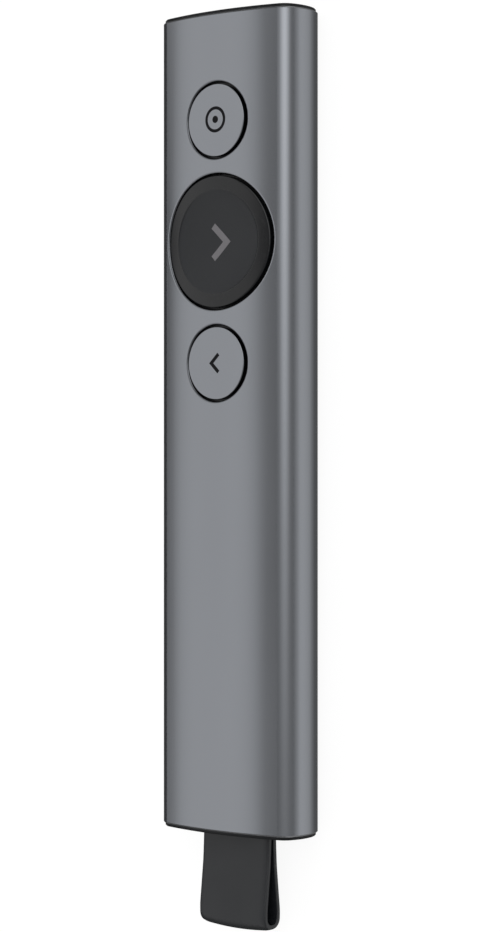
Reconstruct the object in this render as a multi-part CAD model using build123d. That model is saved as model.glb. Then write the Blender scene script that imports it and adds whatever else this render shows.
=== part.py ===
from build123d import *
import os
from math import cos, pi, sin, sqrt

# A slim wireless presentation clicker, lying on its back with its three round buttons up.
#
# A crowned aluminium extrusion is closed by two dark plastic end caps. Inside it a moulded
# chassis slides between two rails and carries the circuit board, the battery and a coin
# vibration motor. A guide plate over the board keeps the three buttons upright. The lower end
# holds a dock with a plug-in radio receiver, which is pulled out by its rubber strap and
# uncovers the charging port at the end of the dock.
#
# Working frame, in millimetres: X across the body, Y along it from the outer face of the
# bottom cap, Z up from the middle of the body's depth. finished() moves each piece to the
# part's own frame: origin under the middle of the whole object, on the surface it lies on.

# ---- Body -------------------------------------------------------------------------------
body_length = 131.3          # outer face of one end cap to the other
body_width = 28.1
body_depth = 12.1
face_crown = 2.05            # how far the broad faces bow out over the width
side_crown = 2.7             # how far the sides bow out over the depth
corner_radius = 2.8
wall = 1.1                   # extrusion wall
end_chamfer = 0.25           # broken edge round both ends of the extrusion
rail_reach = 0.9             # rails stand this far in from the inner side wall
rail_height = 0.6
rail_offset = 1.2            # middle of each rail above and below the middle plane
slide_fit = 0.1              # clearance of what slides into the extrusion
rail_fit = 0.1

# ---- End caps ---------------------------------------------------------------------------
cap_rim = 0.5                # part of a cap that shows beyond the extrusion
cap_inset = 0.3              # rim set in from the extrusion's outer face
cap_edge = 0.2
cap_fit = 0.05
cap_plate = 1.2              # plate inside the mouth of the extrusion
cap_skirt_length = 5.5
cap_skirt_wall = 0.9
collar_length = 2.5          # bottom cap's collar, up to the dock

# ---- Buttons ----------------------------------------------------------------------------
pointer_from_top = 17.55     # centre of the top button from the top end
next_hole_radius = 10.8
small_hole_radius = 6.1
button_land = 2.45           # metal left between the walls of two holes
hole_edge = 0.4              # radius that rounds the edge of each hole
button_gap = 0.4             # round each button top
flange_reach = 0.8           # flange under the wall, past the edge of the hole
flange_fit = 0.08            # flange to wall, with the button up
flange_drop = 2.2            # underside of the big flange below the top of the cavity
next_flange_height = 1.15
small_flange_height = 1.0
small_travel = 0.3
next_travel = 0.4
stop_gap = 0.15              # left under the big flange when it is pressed
small_top_thickness = 1.45   # aluminium disc, at its middle
top_sink = 0.1               # aluminium discs lie this far under the crown
top_chamfer = 0.12
seat_peg_radius = 2.5
seat_peg_height = 0.5
next_proud = 0.12            # rubber ring above the crown of the face
next_edge = 0.5
dish_radius = 8.3            # thumb dish in the big button
dish_depth = 1.25            # its middle below the crown of the face
dish_step = 0.08             # lip round it
skin_side = 1.0              # rubber round the core of the big button
skin_over_core = 0.5         # rubber over the core, under the middle of the dish
post_radius = 0.8
post_fit = 0.06              # running clearance in the guide plate
post_clear_board = 0.2       # under a pressed guide post
small_post_offset = 5.2
next_post_offset = 6.4
plunger_radius = 1.6

# ---- Switches and guide plate -----------------------------------------------------------
switch_height = 2.4          # board to the top of a stem
switch_side = 4.5
switch_case_height = 1.4
switch_shell = 0.3
switch_corner = 0.3
switch_chamber_radius = 1.9
stem_radius = 0.85
stem_fit = 0.08
stem_collar_reach = 0.45
stem_collar_height = 0.2
stem_rest = 0.5              # stem end above the chamber floor
dome_radius = 1.7
dome_height = 0.45
dome_thickness = 0.1
guide_thickness = 0.9
guide_skirt = 0.8
guide_margin = 0.1           # guide plate inside the edge of the board
guide_corner = 1.0
guide_switch_hole = 3.4
guide_past_flange = 2.6      # plate beyond the outermost flanges

# ---- Board and what is on it ------------------------------------------------------------
board_thickness = 0.8
board_side_margin = 1.45     # board edge to the rails
board_from_dock = 0.5
board_from_top = 4.3         # board end to the outer face of the top cap
board_corner = 0.6
part_gap = 0.2               # free air round boxed parts
chip_edge = 0.08
chip_mark_share = 0.06       # radius of the first-corner mark, as a share of the short side
chip_mark_depth = 0.05
# Width, length and height of each chip, its middle across the board, and its place along the
# free stretch between the port's notch and the guide plate, from 0 to 1.
chips = {
    "charger_chip": (3.0, 3.0, 0.75, -6.0, 0.06),
    "radio_chip": (5.0, 5.0, 0.8, 0.2, 0.42),
    "crystal": (3.2, 2.5, 0.7, 4.6, 0.68),
    "motion_sensor": (3.0, 3.0, 0.9, 8.4, 0.86),
}
passive_size = (0.6, 1.1, 0.5)
passive_columns = (-8.6, -3.4)
passives_per_column = 7
antenna_size = (7.0, 2.0, 1.0)
antenna_x = -5.6
antenna_from_end = 1.8       # its middle from the board's end

# ---- Fasteners --------------------------------------------------------------------------
screw_radius = 0.6
screw_head_radius = 1.25
screw_head_height = 0.7
screw_tip = -3.2             # height of every screw's tip over the middle plane
screw_tip_room = 0.2
screw_hole_fit = 0.15
screw_from_edge = 1.5        # screw axis in from the board's edge
boss_radius = 1.7
slot_width = 0.3
slot_depth = 0.3
slot_turn = 35.0

# ---- Chassis ----------------------------------------------------------------------------
chassis_wall = 0.9
chassis_floor = 0.7
chassis_rib = 0.9
chassis_from_cap = 0.4
next_rib_offset = 6.5        # ribs on each side of the big button's switch

# ---- Battery and motor ------------------------------------------------------------------
battery_width = 15.0
battery_length = 32.0
battery_fit = 0.4
battery_foam = 0.3
battery_edge = 0.8
battery_tape_length = 2.0    # folded and taped end that the leads come out of
battery_tape_inset = 1.0
battery_tape_step = 0.5
foam_inset = 1.5
foam_margin = 2.0
lead_radius = 0.4
lead_spacing = 6.0
lead_bend = 1.0
lead_room = 4.0              # for the leads between the cell and the next wall
motor_radius = 4.0
motor_height = 2.7
motor_shell = 0.3
motor_edge = 0.25
motor_foam = 0.3
motor_foam_inset = 0.6
motor_fit = 0.2
motor_shaft_radius = 0.4
rotor_fit = 0.04             # running clearance on the shaft
rotor_hub_radius = 0.95
rotor_clear = 0.25
weight_step = 0.2            # weight thinner than the hub, above and below
weight_past_axis = 0.3
motor_from_top = 8.6         # motor axis from the outer face of the top cap

# ---- Charging port ----------------------------------------------------------------------
port_width = 8.94
port_height = 3.26
port_shell = 0.3
port_length = 7.3
port_tongue_width = 6.7
port_tongue_height = 0.7
port_tongue_length = 4.5
port_tongue_lip = 0.15
port_block_length = 1.4      # moulding that holds the tongue at the back of the shell
port_tab_width = 1.0
port_tab_reach = 0.9
port_tab_thickness = 0.25
port_tab_stations = (3.2, 6.0)
port_fit = 0.12

# ---- Receiver and its dock --------------------------------------------------------------
receiver_width = 16.4
receiver_depth = 6.2
receiver_length = 13.2       # moulded body, from the bottom end face
receiver_wall = 0.9
receiver_corner = 1.2
receiver_inner_corner = 0.4
receiver_edge = 0.35
receiver_slot_depth = 1.4    # slot in its end wall that the strap passes through
receiver_rib_grip = 0.8      # how far the shells' ribs lap over the board's edges
bay_fit = 0.2                # receiver to the bay's walls, each side
bay_past_plug = 1.1
bay_lead_in = 0.35
dock_end_wall = 1.2
dock_side_wall = 0.8
dock_pocket_length = 6.4
dock_pocket_pitch = 7.4
lug_length = 6.8
lug_width = 3.6
lug_thickness = 1.2
plug_width = 12.0
plug_height = 4.5
plug_length = 12.0           # standing out of the moulded body
plug_held = 3.0              # inside the moulded body
plug_shell_wall = 0.3
plug_corner = 0.6
plug_window = 2.0
plug_window_from_tip = 5.2
plug_window_offset = 3.0
plug_tongue_height = 1.85
plug_tongue_length = 8.6
plug_tongue_from_tip = 0.3
plug_tongue_side = 0.3       # tongue to the shell's side walls
plug_tongue_lip = 0.3
contact_width = 1.0
contact_thickness = 0.15
contacts = {-3.5: 0.6, -1.0: 1.6, 1.0: 1.6, 3.5: 0.6}    # place across: set back from the tip
contact_overhang = 1.5       # contacts run on over the receiver's board
receiver_board_thickness = 0.6
receiver_board_width = 10.6
receiver_chip_size = (4.0, 4.0, 0.8)
anchor_radius = 0.8
anchor_from_end = 3.0
anchor_socket = 0.6
spring_thickness = 0.2
spring_height = 2.4
spring_foot = 1.0
spring_gap = 0.05            # spring bump to the receiver's side
spring_window = 5.0

# ---- Strap ------------------------------------------------------------------------------
strap_reach = 15.7           # out of the bottom end face
strap_width = 13.7
strap_thickness = 0.9
strap_neck = 1.04            # half the pair of legs where they leave the receiver
strap_parting = 1.3          # half the pair where the legs start to part
strap_parting_from_end = 10.7
strap_belly = 2.12           # half the loop where it is widest
strap_belly_from_end = 3.1
strap_end_radius = 2.0
strap_end_blend = 0.95       # share of the end radius that its two bends take up
strap_belly_bend = 10.0
strap_parting_bend = 30.0
strap_neck_bend = 3.0
strap_shoulder_bend = 1.5
strap_shoulder_past_pin = 0.4
strap_slot_fit = 0.11
strap_pin_fit = 0.05
strap_to_board = 0.7         # back of the strap's eye to the receiver's board

# ---- Light guide ------------------------------------------------------------------------
light_radius = 0.75
light_fit = 0.05
light_flange = 0.5
light_flange_height = 0.6
led_size = (1.6, 0.8, 0.8)

# ---- Heights and stations that follow ---------------------------------------------------
half_width = body_width / 2
half_depth = body_depth / 2
face_radius = (half_width**2 + face_crown**2) / (2 * face_crown)
side_radius = (half_depth**2 + side_crown**2) / (2 * side_crown)
cavity_top = half_depth - wall
cavity_side = half_width - wall

button_pitch = next_hole_radius + small_hole_radius + button_land
next_y = body_length - pointer_from_top - button_pitch
pointer_y = next_y + button_pitch
back_y = next_y - button_pitch
next_radius = next_hole_radius - button_gap
small_radius = small_hole_radius - button_gap
next_flange_radius = next_hole_radius + flange_reach
small_flange_radius = small_hole_radius + flange_reach
stem_top = cavity_top - flange_drop
small_top_low = half_depth - top_sink - small_top_thickness
small_flange_low = small_top_low - small_flange_height
next_top_low = stem_top + next_flange_height

board_top = stem_top - switch_height
board_low = board_top - board_thickness
guide_top = stem_top - next_travel - stop_gap
guide_low = guide_top - guide_thickness
small_post_low = board_top + post_clear_board + small_travel
next_post_low = board_top + post_clear_board + next_travel

bay_width = receiver_width + 2 * bay_fit
bay_depth = receiver_depth + 2 * bay_fit
plug_tip = receiver_length + plug_length
bay_end = plug_tip + bay_past_plug
dock_start = cap_rim + collar_length
dock_end = bay_end + dock_end_wall
rail_inner = cavity_side - rail_reach
board_half_width = rail_inner - board_side_margin
board_start = dock_end + board_from_dock
board_end = body_length - board_from_top
chassis_start = dock_end
chassis_end = body_length - cap_rim - cap_skirt_length - chassis_from_cap
screw_x = board_half_width - screw_from_edge
dock_screw_y = dock_end + lug_length - boss_radius
guide_start = back_y - small_flange_radius - guide_past_flange
guide_end = pointer_y + small_flange_radius + guide_past_flange
guide_screw_ys = (guide_start + boss_radius, guide_end - boss_radius)
battery_start = dock_end + lug_length + chassis_wall + battery_fit
battery_end = battery_start + battery_length
motor_y = body_length - motor_from_top
port_middle = board_low + board_thickness / 2
port_notch_end = bay_end + port_length + port_fit
plug_inner_top = plug_height / 2 - plug_shell_wall
contact_low = plug_tongue_height - plug_inner_top
spring_y = dock_start + (bay_end - dock_start) / 2 - dock_pocket_pitch
receiver_board_start = anchor_from_end + anchor_radius + strap_thickness + strap_to_board

FLAT = (Align.CENTER, Align.CENTER, Align.MIN)
PAST = 1.0                   # how far a cutter runs on past the faces it cuts


# ---- Shapes used by many pieces ---------------------------------------------------------
def corner_centre():
    """Centre of the corner arc, which is tangent inside the face arc and the side arc."""
    face_centre = Vector(0, half_depth - face_radius)
    side_centre = Vector(half_width - side_radius, 0)
    to_face = face_radius - corner_radius
    to_side = side_radius - corner_radius
    across = side_centre - face_centre
    along = (to_face**2 - to_side**2 + across.length**2) / (2 * across.length)
    off = sqrt(to_face**2 - along**2)
    unit = across.normalized()
    return face_centre + unit * along + Vector(unit.Y, -unit.X) * off


def body_section(inset=0.0):
    """Cross-section of the body, with its outline moved in evenly by inset."""
    corner = corner_centre()
    face_centre = Vector(0, half_depth - face_radius)
    side_centre = Vector(half_width - side_radius, 0)
    to_face = (corner - face_centre).normalized()
    to_side = (corner - side_centre).normalized()
    face_end = face_centre + to_face * (face_radius - inset)
    side_end = side_centre + to_side * (side_radius - inset)
    corner_mid = corner + (to_face + to_side).normalized() * (corner_radius - inset)

    def at(point, across, up):
        return (across * point.X, up * point.Y)

    top = (0, half_depth - inset)
    side = (half_width - inset, 0)
    arcs = []
    for up in (1, -1):
        arcs.append(ThreePointArc(at(face_end, -1, up), (0, up * top[1]), at(face_end, 1, up)))
    for across in (1, -1):
        start, end = at(side_end, across, 1), at(side_end, across, -1)
        arcs.append(ThreePointArc(start, (across * side[0], 0), end))
        for up in (1, -1):
            ends = at(face_end, across, up), at(side_end, across, up)
            arcs.append(ThreePointArc(ends[0], at(corner_mid, across, up), ends[1]))
    return make_face(arcs)


def body_prism(inset, start, end):
    """The body's cross-section, moved in by inset, drawn out between two stations."""
    plane = Plane(origin=(0, end, 0), x_dir=(1, 0, 0), z_dir=(0, -1, 0))
    return extrude(plane * body_section(inset), amount=end - start)


def face_height(x, inset):
    """Height of the crowned face over the middle plane at x, moved in by inset."""
    return half_depth - face_radius + sqrt((face_radius - inset) ** 2 - x**2)


def disc(radius, low, high, x=0.0, y=0.0):
    """Upright cylinder between two heights."""
    return Pos(x, y, low) * Cylinder(radius, high - low, align=FLAT)


def block(x, y, z):
    """Box between pairs of limits in X, Y and Z."""
    size = [high - low for low, high in (x, y, z)]
    middle = [(high + low) / 2 for low, high in (x, y, z)]
    return Pos(*middle) * Box(*size)


def rounded_bar(width, height, radius, start, end):
    """Bar along Y with a rounded rectangular section about the middle plane."""
    plane = Plane(origin=(0, end, 0), x_dir=(1, 0, 0), z_dir=(0, -1, 0))
    return extrude(plane * RectangleRounded(width, height, radius), amount=end - start)


def rod(radius, start, end, z):
    """Cylinder along Y at height z, between two stations."""
    plane = Plane(origin=(0, end, z), x_dir=(1, 0, 0), z_dir=(0, -1, 0))
    return extrude(plane * Circle(radius), amount=end - start)


def edges_at(shape, axis, value, tolerance=0.01):
    """Edges of shape that lie wholly at one value along an axis."""
    return shape.edges().filter_by_position(axis, value - tolerance, value + tolerance)


def rim_edges(shape, radius, y, low):
    """Edges that an upright cylinder about (0, y) makes with shape's faces above height low."""
    rim = []
    for edge in shape.edges():
        points = [edge @ share for share in (0, 0.3, 0.7, 1)]
        on_wall = all(abs(sqrt(p.X**2 + (p.Y - y) ** 2) - radius) < 0.001 for p in points)
        flat_run = max(p.X for p in points) - min(p.X for p in points)
        flat_run += max(p.Y for p in points) - min(p.Y for p in points)
        if on_wall and flat_run > 0.01 and min(p.Z for p in points) > low + 0.01:
            rim.append(edge)
    return rim


def rails(start, end, fit=0.0):
    """The two rails on each side of the extrusion, or their grooves when fit is given."""
    made = []
    for across in (1, -1):
        for up in (1, -1):
            x = sorted((across * (rail_inner - fit), across * half_width))
            middle = up * rail_offset
            z = (middle - rail_height / 2 - fit, middle + rail_height / 2 + fit)
            made.append(block(x, (start, end), z))
    return made


def screw(x, y, seat):
    """Slotted pan-head screw, its head resting at height seat."""
    head_top = seat + screw_head_height
    made = disc(screw_head_radius, seat, head_top, x, y)
    made += disc(screw_radius, screw_tip, seat, x, y)
    slot = Box(2 * screw_head_radius + PAST, slot_width, slot_depth)
    return made - Pos(x, y, head_top - slot_depth / 2) * Rot(0, 0, slot_turn) * slot


# ---- Shell ------------------------------------------------------------------------------
def make_housing_sleeve():
    """Extruded sleeve with inner rails and three machined button holes."""
    start, end = cap_rim, body_length - cap_rim
    sleeve = body_prism(0, start, end)
    ends = edges_at(sleeve, Axis.Y, start) + edges_at(sleeve, Axis.Y, end)
    sleeve = chamfer(ends, end_chamfer)
    hole_low = rail_offset + rail_height
    holes = (
        (pointer_y, small_hole_radius),
        (next_y, next_hole_radius),
        (back_y, small_hole_radius),
    )
    for y, radius in holes:
        sleeve -= disc(radius, hole_low, body_depth, 0, y)
        sleeve = fillet(rim_edges(sleeve, radius, y, hole_low), hole_edge)
    sleeve -= body_prism(wall, start - PAST, end + PAST)
    for rail in rails(start, end):
        sleeve += rail & body_prism(wall / 2, start, end)
    return sleeve


def make_top_end_cap():
    """Closed end cap with a thin rim outside and a skirt inside the sleeve."""
    rim_low = body_length - cap_rim
    cap = body_prism(cap_inset, rim_low, body_length)
    cap = chamfer(edges_at(cap, Axis.Y, body_length), cap_edge)
    inside = wall + cap_fit
    skirt_end = rim_low - cap_skirt_length
    skirt = body_prism(inside, skirt_end, rim_low)
    skirt -= body_prism(inside + cap_skirt_wall, skirt_end, rim_low - cap_plate)
    for groove in rails(skirt_end, rim_low, rail_fit):
        skirt -= groove
    cap += skirt
    light_z = board_top + led_size[2] / 2
    plate_inside = rim_low - cap_plate
    return cap - rod(light_radius + light_fit, plate_inside - PAST, body_length + PAST, light_z)


def make_bottom_end_cap():
    """Open end cap with the mouth that the receiver slides through."""
    cap = body_prism(cap_inset, 0, cap_rim)
    cap = chamfer(edges_at(cap, Axis.Y, 0), cap_edge)
    collar = body_prism(wall + cap_fit, cap_rim, dock_start)
    for groove in rails(cap_rim, dock_start, rail_fit):
        collar -= groove
    cap += collar
    corner = receiver_corner + bay_fit
    cap -= rounded_bar(bay_width, bay_depth, corner, -PAST, dock_start + PAST)
    mouth = [
        edge
        for edge in edges_at(cap, Axis.Y, 0)
        if edge.bounding_box().max.X < bay_width / 2 + 0.01
        and edge.bounding_box().min.X > -bay_width / 2 - 0.01
        and abs(edge.center().Z) < bay_depth / 2 + 0.01
    ]
    return chamfer(mouth, bay_lead_in)


# ---- Dock -------------------------------------------------------------------------------
def make_receiver_dock():
    """Moulded plug in the lower end with the receiver's bay, cored out along its sides."""
    dock = body_prism(wall + slide_fit, dock_start, dock_end)
    corner = receiver_corner + bay_fit
    dock -= rounded_bar(bay_width, bay_depth, corner, dock_start - PAST, bay_end)
    dock -= port_bar(-port_fit, bay_end - PAST, dock_end + PAST)
    inner = bay_width / 2 + dock_side_wall
    length = bay_end - dock_start
    middle = (dock_start + bay_end) / 2
    count = int((length - chassis_wall) // dock_pocket_pitch)
    for across in (1, -1):
        for step in range(count):
            y = middle + (step - (count - 1) / 2) * dock_pocket_pitch
            x = sorted((across * inner, across * half_width))
            span = (y - dock_pocket_length / 2, y + dock_pocket_length / 2)
            dock -= block(x, span, (-half_depth / 2, half_depth / 2))
        x = sorted((across * (bay_width / 2 - PAST), across * (inner + spring_thickness)))
        span = (spring_y - spring_window / 2, spring_y + spring_window / 2)
        height = spring_height / 2 + part_gap
        dock -= block(x, span, (-height, height))
    for groove in rails(dock_start, dock_end, rail_fit):
        dock -= groove
    for across in (1, -1):
        x = sorted((across * (screw_x - lug_width / 2), across * (screw_x + lug_width / 2)))
        y = (dock_end - dock_end_wall / 2, dock_end + lug_length)
        lug = block(x, y, (board_low - lug_thickness, board_low))
        dock += lug
        hole = screw_radius + screw_hole_fit
        dock -= disc(hole, -half_depth, board_top, across * screw_x, dock_screw_y)
    return dock


def make_dock_springs():
    """Pair of bowed strips that grip the receiver's sides, one in each side pocket."""
    inner = bay_width / 2 + dock_side_wall
    bump = receiver_width / 2 + spring_gap
    half = dock_pocket_length / 2 - part_gap
    bow = half - spring_foot
    sides = []
    for back in (0, spring_thickness):
        foot_low = Line((inner + back, -half), (inner + back, -bow))
        foot_high = Line((inner + back, bow), (inner + back, half))
        sides += [foot_low, ThreePointArc(foot_low @ 1, (bump + back, 0), foot_high @ 0), foot_high]
    ends = [Line((inner, y), (inner + spring_thickness, y)) for y in (-half, half)]
    right = extrude(make_face(sides + ends), amount=spring_height / 2, both=True)
    right = Pos(0, spring_y, 0) * right
    return [right, mirror(right, Plane.YZ)]


# ---- Chassis ----------------------------------------------------------------------------
def make_chassis():
    """Long moulded tray under the board, with pockets for the port, battery and motor."""
    inset = wall + slide_fit
    tray = body_prism(inset, chassis_start, chassis_end)
    over = block((-half_width, half_width), (chassis_start, chassis_end), (board_low, half_depth))
    side = board_half_width + part_gap
    keep = block((-side, side), (chassis_start, chassis_end), (-half_depth, half_depth))
    tray -= over & keep
    tray -= block(
        (-half_width, half_width),
        (chassis_start, chassis_end),
        (rail_offset - rail_height / 2 - rail_fit, half_depth),
    )
    for groove in rails(chassis_start, chassis_end, rail_fit):
        tray -= groove
    reach = battery_width / 2 + battery_fit
    floor = -face_height(reach, inset) + chassis_floor
    tray -= block((-reach, reach), (battery_start - battery_fit, battery_end + lead_room),
                  (floor, board_top))
    port_reach = port_width / 2 + part_gap
    port_low = port_middle - port_height / 2 - part_gap
    tray -= block((-port_reach, port_reach), (chassis_start, bay_end + port_length + part_gap),
                  (port_low, board_top))
    motor_low = board_low - motor_height - motor_foam
    tray -= disc(motor_radius + motor_fit, motor_low, board_top, 0, motor_y)
    tray -= cored_bays(floor)
    for across in (1, -1):
        reach = lug_width / 2 + slide_fit
        x = sorted((across * (screw_x - reach), across * (screw_x + reach)))
        y = (chassis_start, dock_end + lug_length + slide_fit)
        tray -= block(x, y, (board_low - lug_thickness, board_top))
        for y in (dock_screw_y, *guide_screw_ys):
            tip = screw_tip - screw_tip_room
            tray -= disc(screw_radius, tip, board_top, across * screw_x, y)
    return tray


def cored_bays(floor):
    """Hollows between cross ribs under the buttons, clear of the screw bosses."""
    start = battery_end + lead_room + chassis_wall
    end = motor_y - motor_radius - motor_fit - chassis_wall
    ribs = [back_y, next_y - next_rib_offset, next_y + next_rib_offset, pointer_y]
    stops = [start - chassis_rib / 2, *[y for y in ribs if start < y < end], end + chassis_rib / 2]
    reach = board_half_width - chassis_wall
    bays = []
    for low, high in zip(stops, stops[1:]):
        bays.append(block((-reach, reach), (low + chassis_rib / 2, high - chassis_rib / 2),
                          (floor, board_top)))
    hollow = Part() + bays
    hollow &= body_prism(wall + slide_fit + chassis_floor, chassis_start, chassis_end)
    for across in (1, -1):
        for y in guide_screw_ys:
            hollow -= disc(boss_radius, -half_depth, board_top, across * screw_x, y)
    return hollow


# ---- Board ------------------------------------------------------------------------------
def make_main_board():
    """Circuit board with a notch for the charging port and clearance holes for screws."""
    board = block((-board_half_width, board_half_width), (board_start, board_end),
                  (board_low, board_top))
    board = fillet(board.edges().filter_by(Axis.Z), board_corner)
    notch = port_width / 2 + port_fit
    board -= block((-notch, notch), (board_start - PAST, port_notch_end),
                   (board_low - PAST, board_top + PAST))
    hole = screw_radius + screw_hole_fit
    for across in (1, -1):
        for y in (dock_screw_y, *guide_screw_ys):
            board -= disc(hole, board_low - PAST, board_top + PAST, across * screw_x, y)
    return board


def free_station(length, share):
    """Middle of a component that lies at a share of the stretch between notch and guide."""
    low = port_notch_end + part_gap + length / 2
    high = guide_start - part_gap - length / 2
    return low + share * (high - low)


def chip(width, length, height, x, y):
    """Boxed component standing on the board, with a marked first corner."""
    top = board_top + height
    made = Pos(x, y, board_top) * Box(width, length, height, align=FLAT)
    made = chamfer(edges_at(made, Axis.Z, top), chip_edge)
    mark = min(width, length) * chip_mark_share
    spot = x - width / 2 + 4 * mark, y + length / 2 - 4 * mark
    return made - disc(mark, top - chip_mark_depth, top + PAST, *spot)


def make_passives():
    """Small two-terminal components in two columns beside the chips."""
    made = []
    for x in passive_columns:
        for step in range(passives_per_column):
            y = free_station(passive_size[1], (step + 0.5) / passives_per_column)
            made.append(Pos(x, y, board_top) * Box(*passive_size, align=FLAT))
    return made


def port_bar(inset, start, end):
    """Bar with the charging port's stadium section, moved in evenly by inset."""
    width, height = port_width - 2 * inset, port_height - 2 * inset
    return Pos(0, 0, port_middle) * rounded_bar(width, height, height / 2 - 0.01, start, end)


def make_charging_port():
    """Shell and tongue of the charging socket, set into the board's notch."""
    start, end = bay_end, bay_end + port_length
    inside_end = end - port_shell
    root = inside_end - port_block_length
    shell = port_bar(0, start, end) - port_bar(port_shell, start - PAST, inside_end)
    for across in (1, -1):
        x = sorted(across * (port_width / 2 + reach) for reach in (-port_shell, port_tab_reach))
        for station in port_tab_stations:
            y = (start + station - port_tab_width / 2, start + station + port_tab_width / 2)
            shell += block(x, y, (board_top, board_top + port_tab_thickness))
    half = port_tongue_width / 2
    bar = block((-half, half), (root - port_tongue_length, root),
                (port_middle - port_tongue_height / 2, port_middle + port_tongue_height / 2))
    lip = edges_at(bar, Axis.Y, root - port_tongue_length)
    tongue = port_bar(port_shell, root, inside_end) + chamfer(lip, port_tongue_lip)
    return shell, tongue


# ---- Battery ----------------------------------------------------------------------------
def battery_heights():
    """Underside and top of the cell between its foam and the board."""
    inset = wall + slide_fit
    reach = battery_width / 2 + battery_fit
    floor = -face_height(reach, inset) + chassis_floor
    return floor + battery_foam, board_low - part_gap


def make_battery_cell():
    """Pouch cell with rounded long edges and a taped lead end."""
    low, high = battery_heights()
    half = battery_width / 2
    tape_start = battery_end - battery_tape_length
    cell = block((-half, half), (battery_start, tape_start), (low, high))
    cell = fillet(cell.edges().filter_by(Axis.Y), battery_edge)
    half -= battery_tape_inset
    end_z = low + battery_tape_step, high - battery_tape_step
    return cell + block((-half, half), (tape_start, battery_end), end_z)


def make_battery_foam():
    """Adhesive foam under the cell."""
    low, _ = battery_heights()
    half = battery_width / 2 - foam_inset
    end = battery_end - battery_tape_length - foam_margin
    return block((-half, half), (battery_start + foam_margin, end), (low - battery_foam, low))


def make_battery_lead(x):
    """Insulated lead that rises from the cell's end to the underside of the board."""
    low, high = battery_heights()
    start_z = (low + high) / 2
    stop = battery_end + lead_room - 2 * lead_radius
    path = FilletPolyline(
        (x, battery_end, start_z), (x, stop, start_z), (x, stop, board_low), radius=lead_bend
    )
    profile = Plane(origin=path @ 0, z_dir=path % 0) * Circle(lead_radius)
    return sweep(profile, path=path)


# ---- Vibration motor --------------------------------------------------------------------
def make_motor():
    """Case, shaft and eccentric rotor of the coin motor under the board."""
    low, high = board_low - motor_height, board_low
    case = disc(motor_radius, low, high, 0, motor_y)
    case = chamfer(edges_at(case, Axis.Z, low), motor_edge)
    case -= disc(motor_radius - motor_shell, low + motor_shell, high - motor_shell, 0, motor_y)
    shaft_low, shaft_high = low + motor_shell / 2, high - motor_shell / 2
    shaft = disc(motor_shaft_radius, shaft_low, shaft_high, 0, motor_y)
    case -= shaft
    rotor_low, rotor_high = low + motor_shell + rotor_clear, high - motor_shell - rotor_clear
    hub = disc(rotor_hub_radius, rotor_low, rotor_high, 0, motor_y)
    sweep_radius = motor_radius - motor_shell - rotor_clear
    weight = disc(sweep_radius, rotor_low + weight_step, rotor_high - weight_step, 0, motor_y)
    weight -= block((-motor_radius, motor_radius),
                    (motor_y - motor_radius, motor_y + weight_past_axis), (low, high))
    rotor = hub + weight
    rotor -= disc(motor_shaft_radius + rotor_fit, low, high, 0, motor_y)
    return case, shaft, rotor


def make_motor_foam():
    """Adhesive pad between the motor and the chassis."""
    low = board_low - motor_height
    return disc(motor_radius - motor_foam_inset, low - motor_foam, low, 0, motor_y)


# ---- Switches ---------------------------------------------------------------------------
def make_switch_case(y):
    """Square tactile switch body with a round chamber and a lid hole for the stem."""
    top = board_top + switch_case_height
    half = switch_side / 2
    case = block((-half, half), (y - half, y + half), (board_top, top))
    case = chamfer(case.edges().filter_by(Axis.Z), switch_corner)
    case -= disc(switch_chamber_radius, board_top + switch_shell, top - switch_shell, 0, y)
    return case - disc(stem_radius + stem_fit, board_top + switch_shell, top + PAST, 0, y)


def make_switch_stem(y):
    """Stem that the button pushes, with a collar that the lid holds in."""
    low = board_top + switch_shell + stem_rest
    stem = disc(stem_radius, low, stem_top, 0, y)
    return stem + disc(stem_radius + stem_collar_reach, low, low + stem_collar_height, 0, y)


def make_switch_dome(y):
    """Snap dome under the stem, a shallow cap standing on the chamber floor."""
    floor = board_top + switch_shell
    outer = (dome_radius**2 + dome_height**2) / (2 * dome_height)
    centre = floor + dome_height - outer
    dome = Pos(0, y, centre) * Sphere(outer)
    dome -= Pos(0, y, centre) * Sphere(outer - dome_thickness)
    return dome & disc(dome_radius + PAST, floor, floor + dome_height + PAST, 0, y)


# ---- Buttons ----------------------------------------------------------------------------
def flange(radius, low, high, y):
    """Disc held down by the crown of the wall over it."""
    span = radius + PAST
    return disc(radius, low, high, 0, y) & body_prism(wall + flange_fit, y - span, y + span)


def make_small_button(y):
    """Aluminium top and moulded carrier of a small button."""
    under = small_top_low
    top = disc(small_radius, under, body_depth, 0, y)
    top &= body_prism(top_sink, y - small_radius - PAST, y + small_radius + PAST)
    top = chamfer(rim_edges(top, small_radius, y, under), top_chamfer)
    top -= disc(seat_peg_radius, under - PAST, under + seat_peg_height, 0, y)
    carrier = flange(small_flange_radius, small_flange_low, under, y)
    carrier += disc(seat_peg_radius, under, under + seat_peg_height, 0, y)
    carrier += disc(plunger_radius, stem_top, small_flange_low, 0, y)
    for side in (1, -1):
        ahead = side * small_post_offset
        carrier += disc(post_radius, small_post_low, small_flange_low, 0, y + ahead)
    return top, carrier


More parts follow.
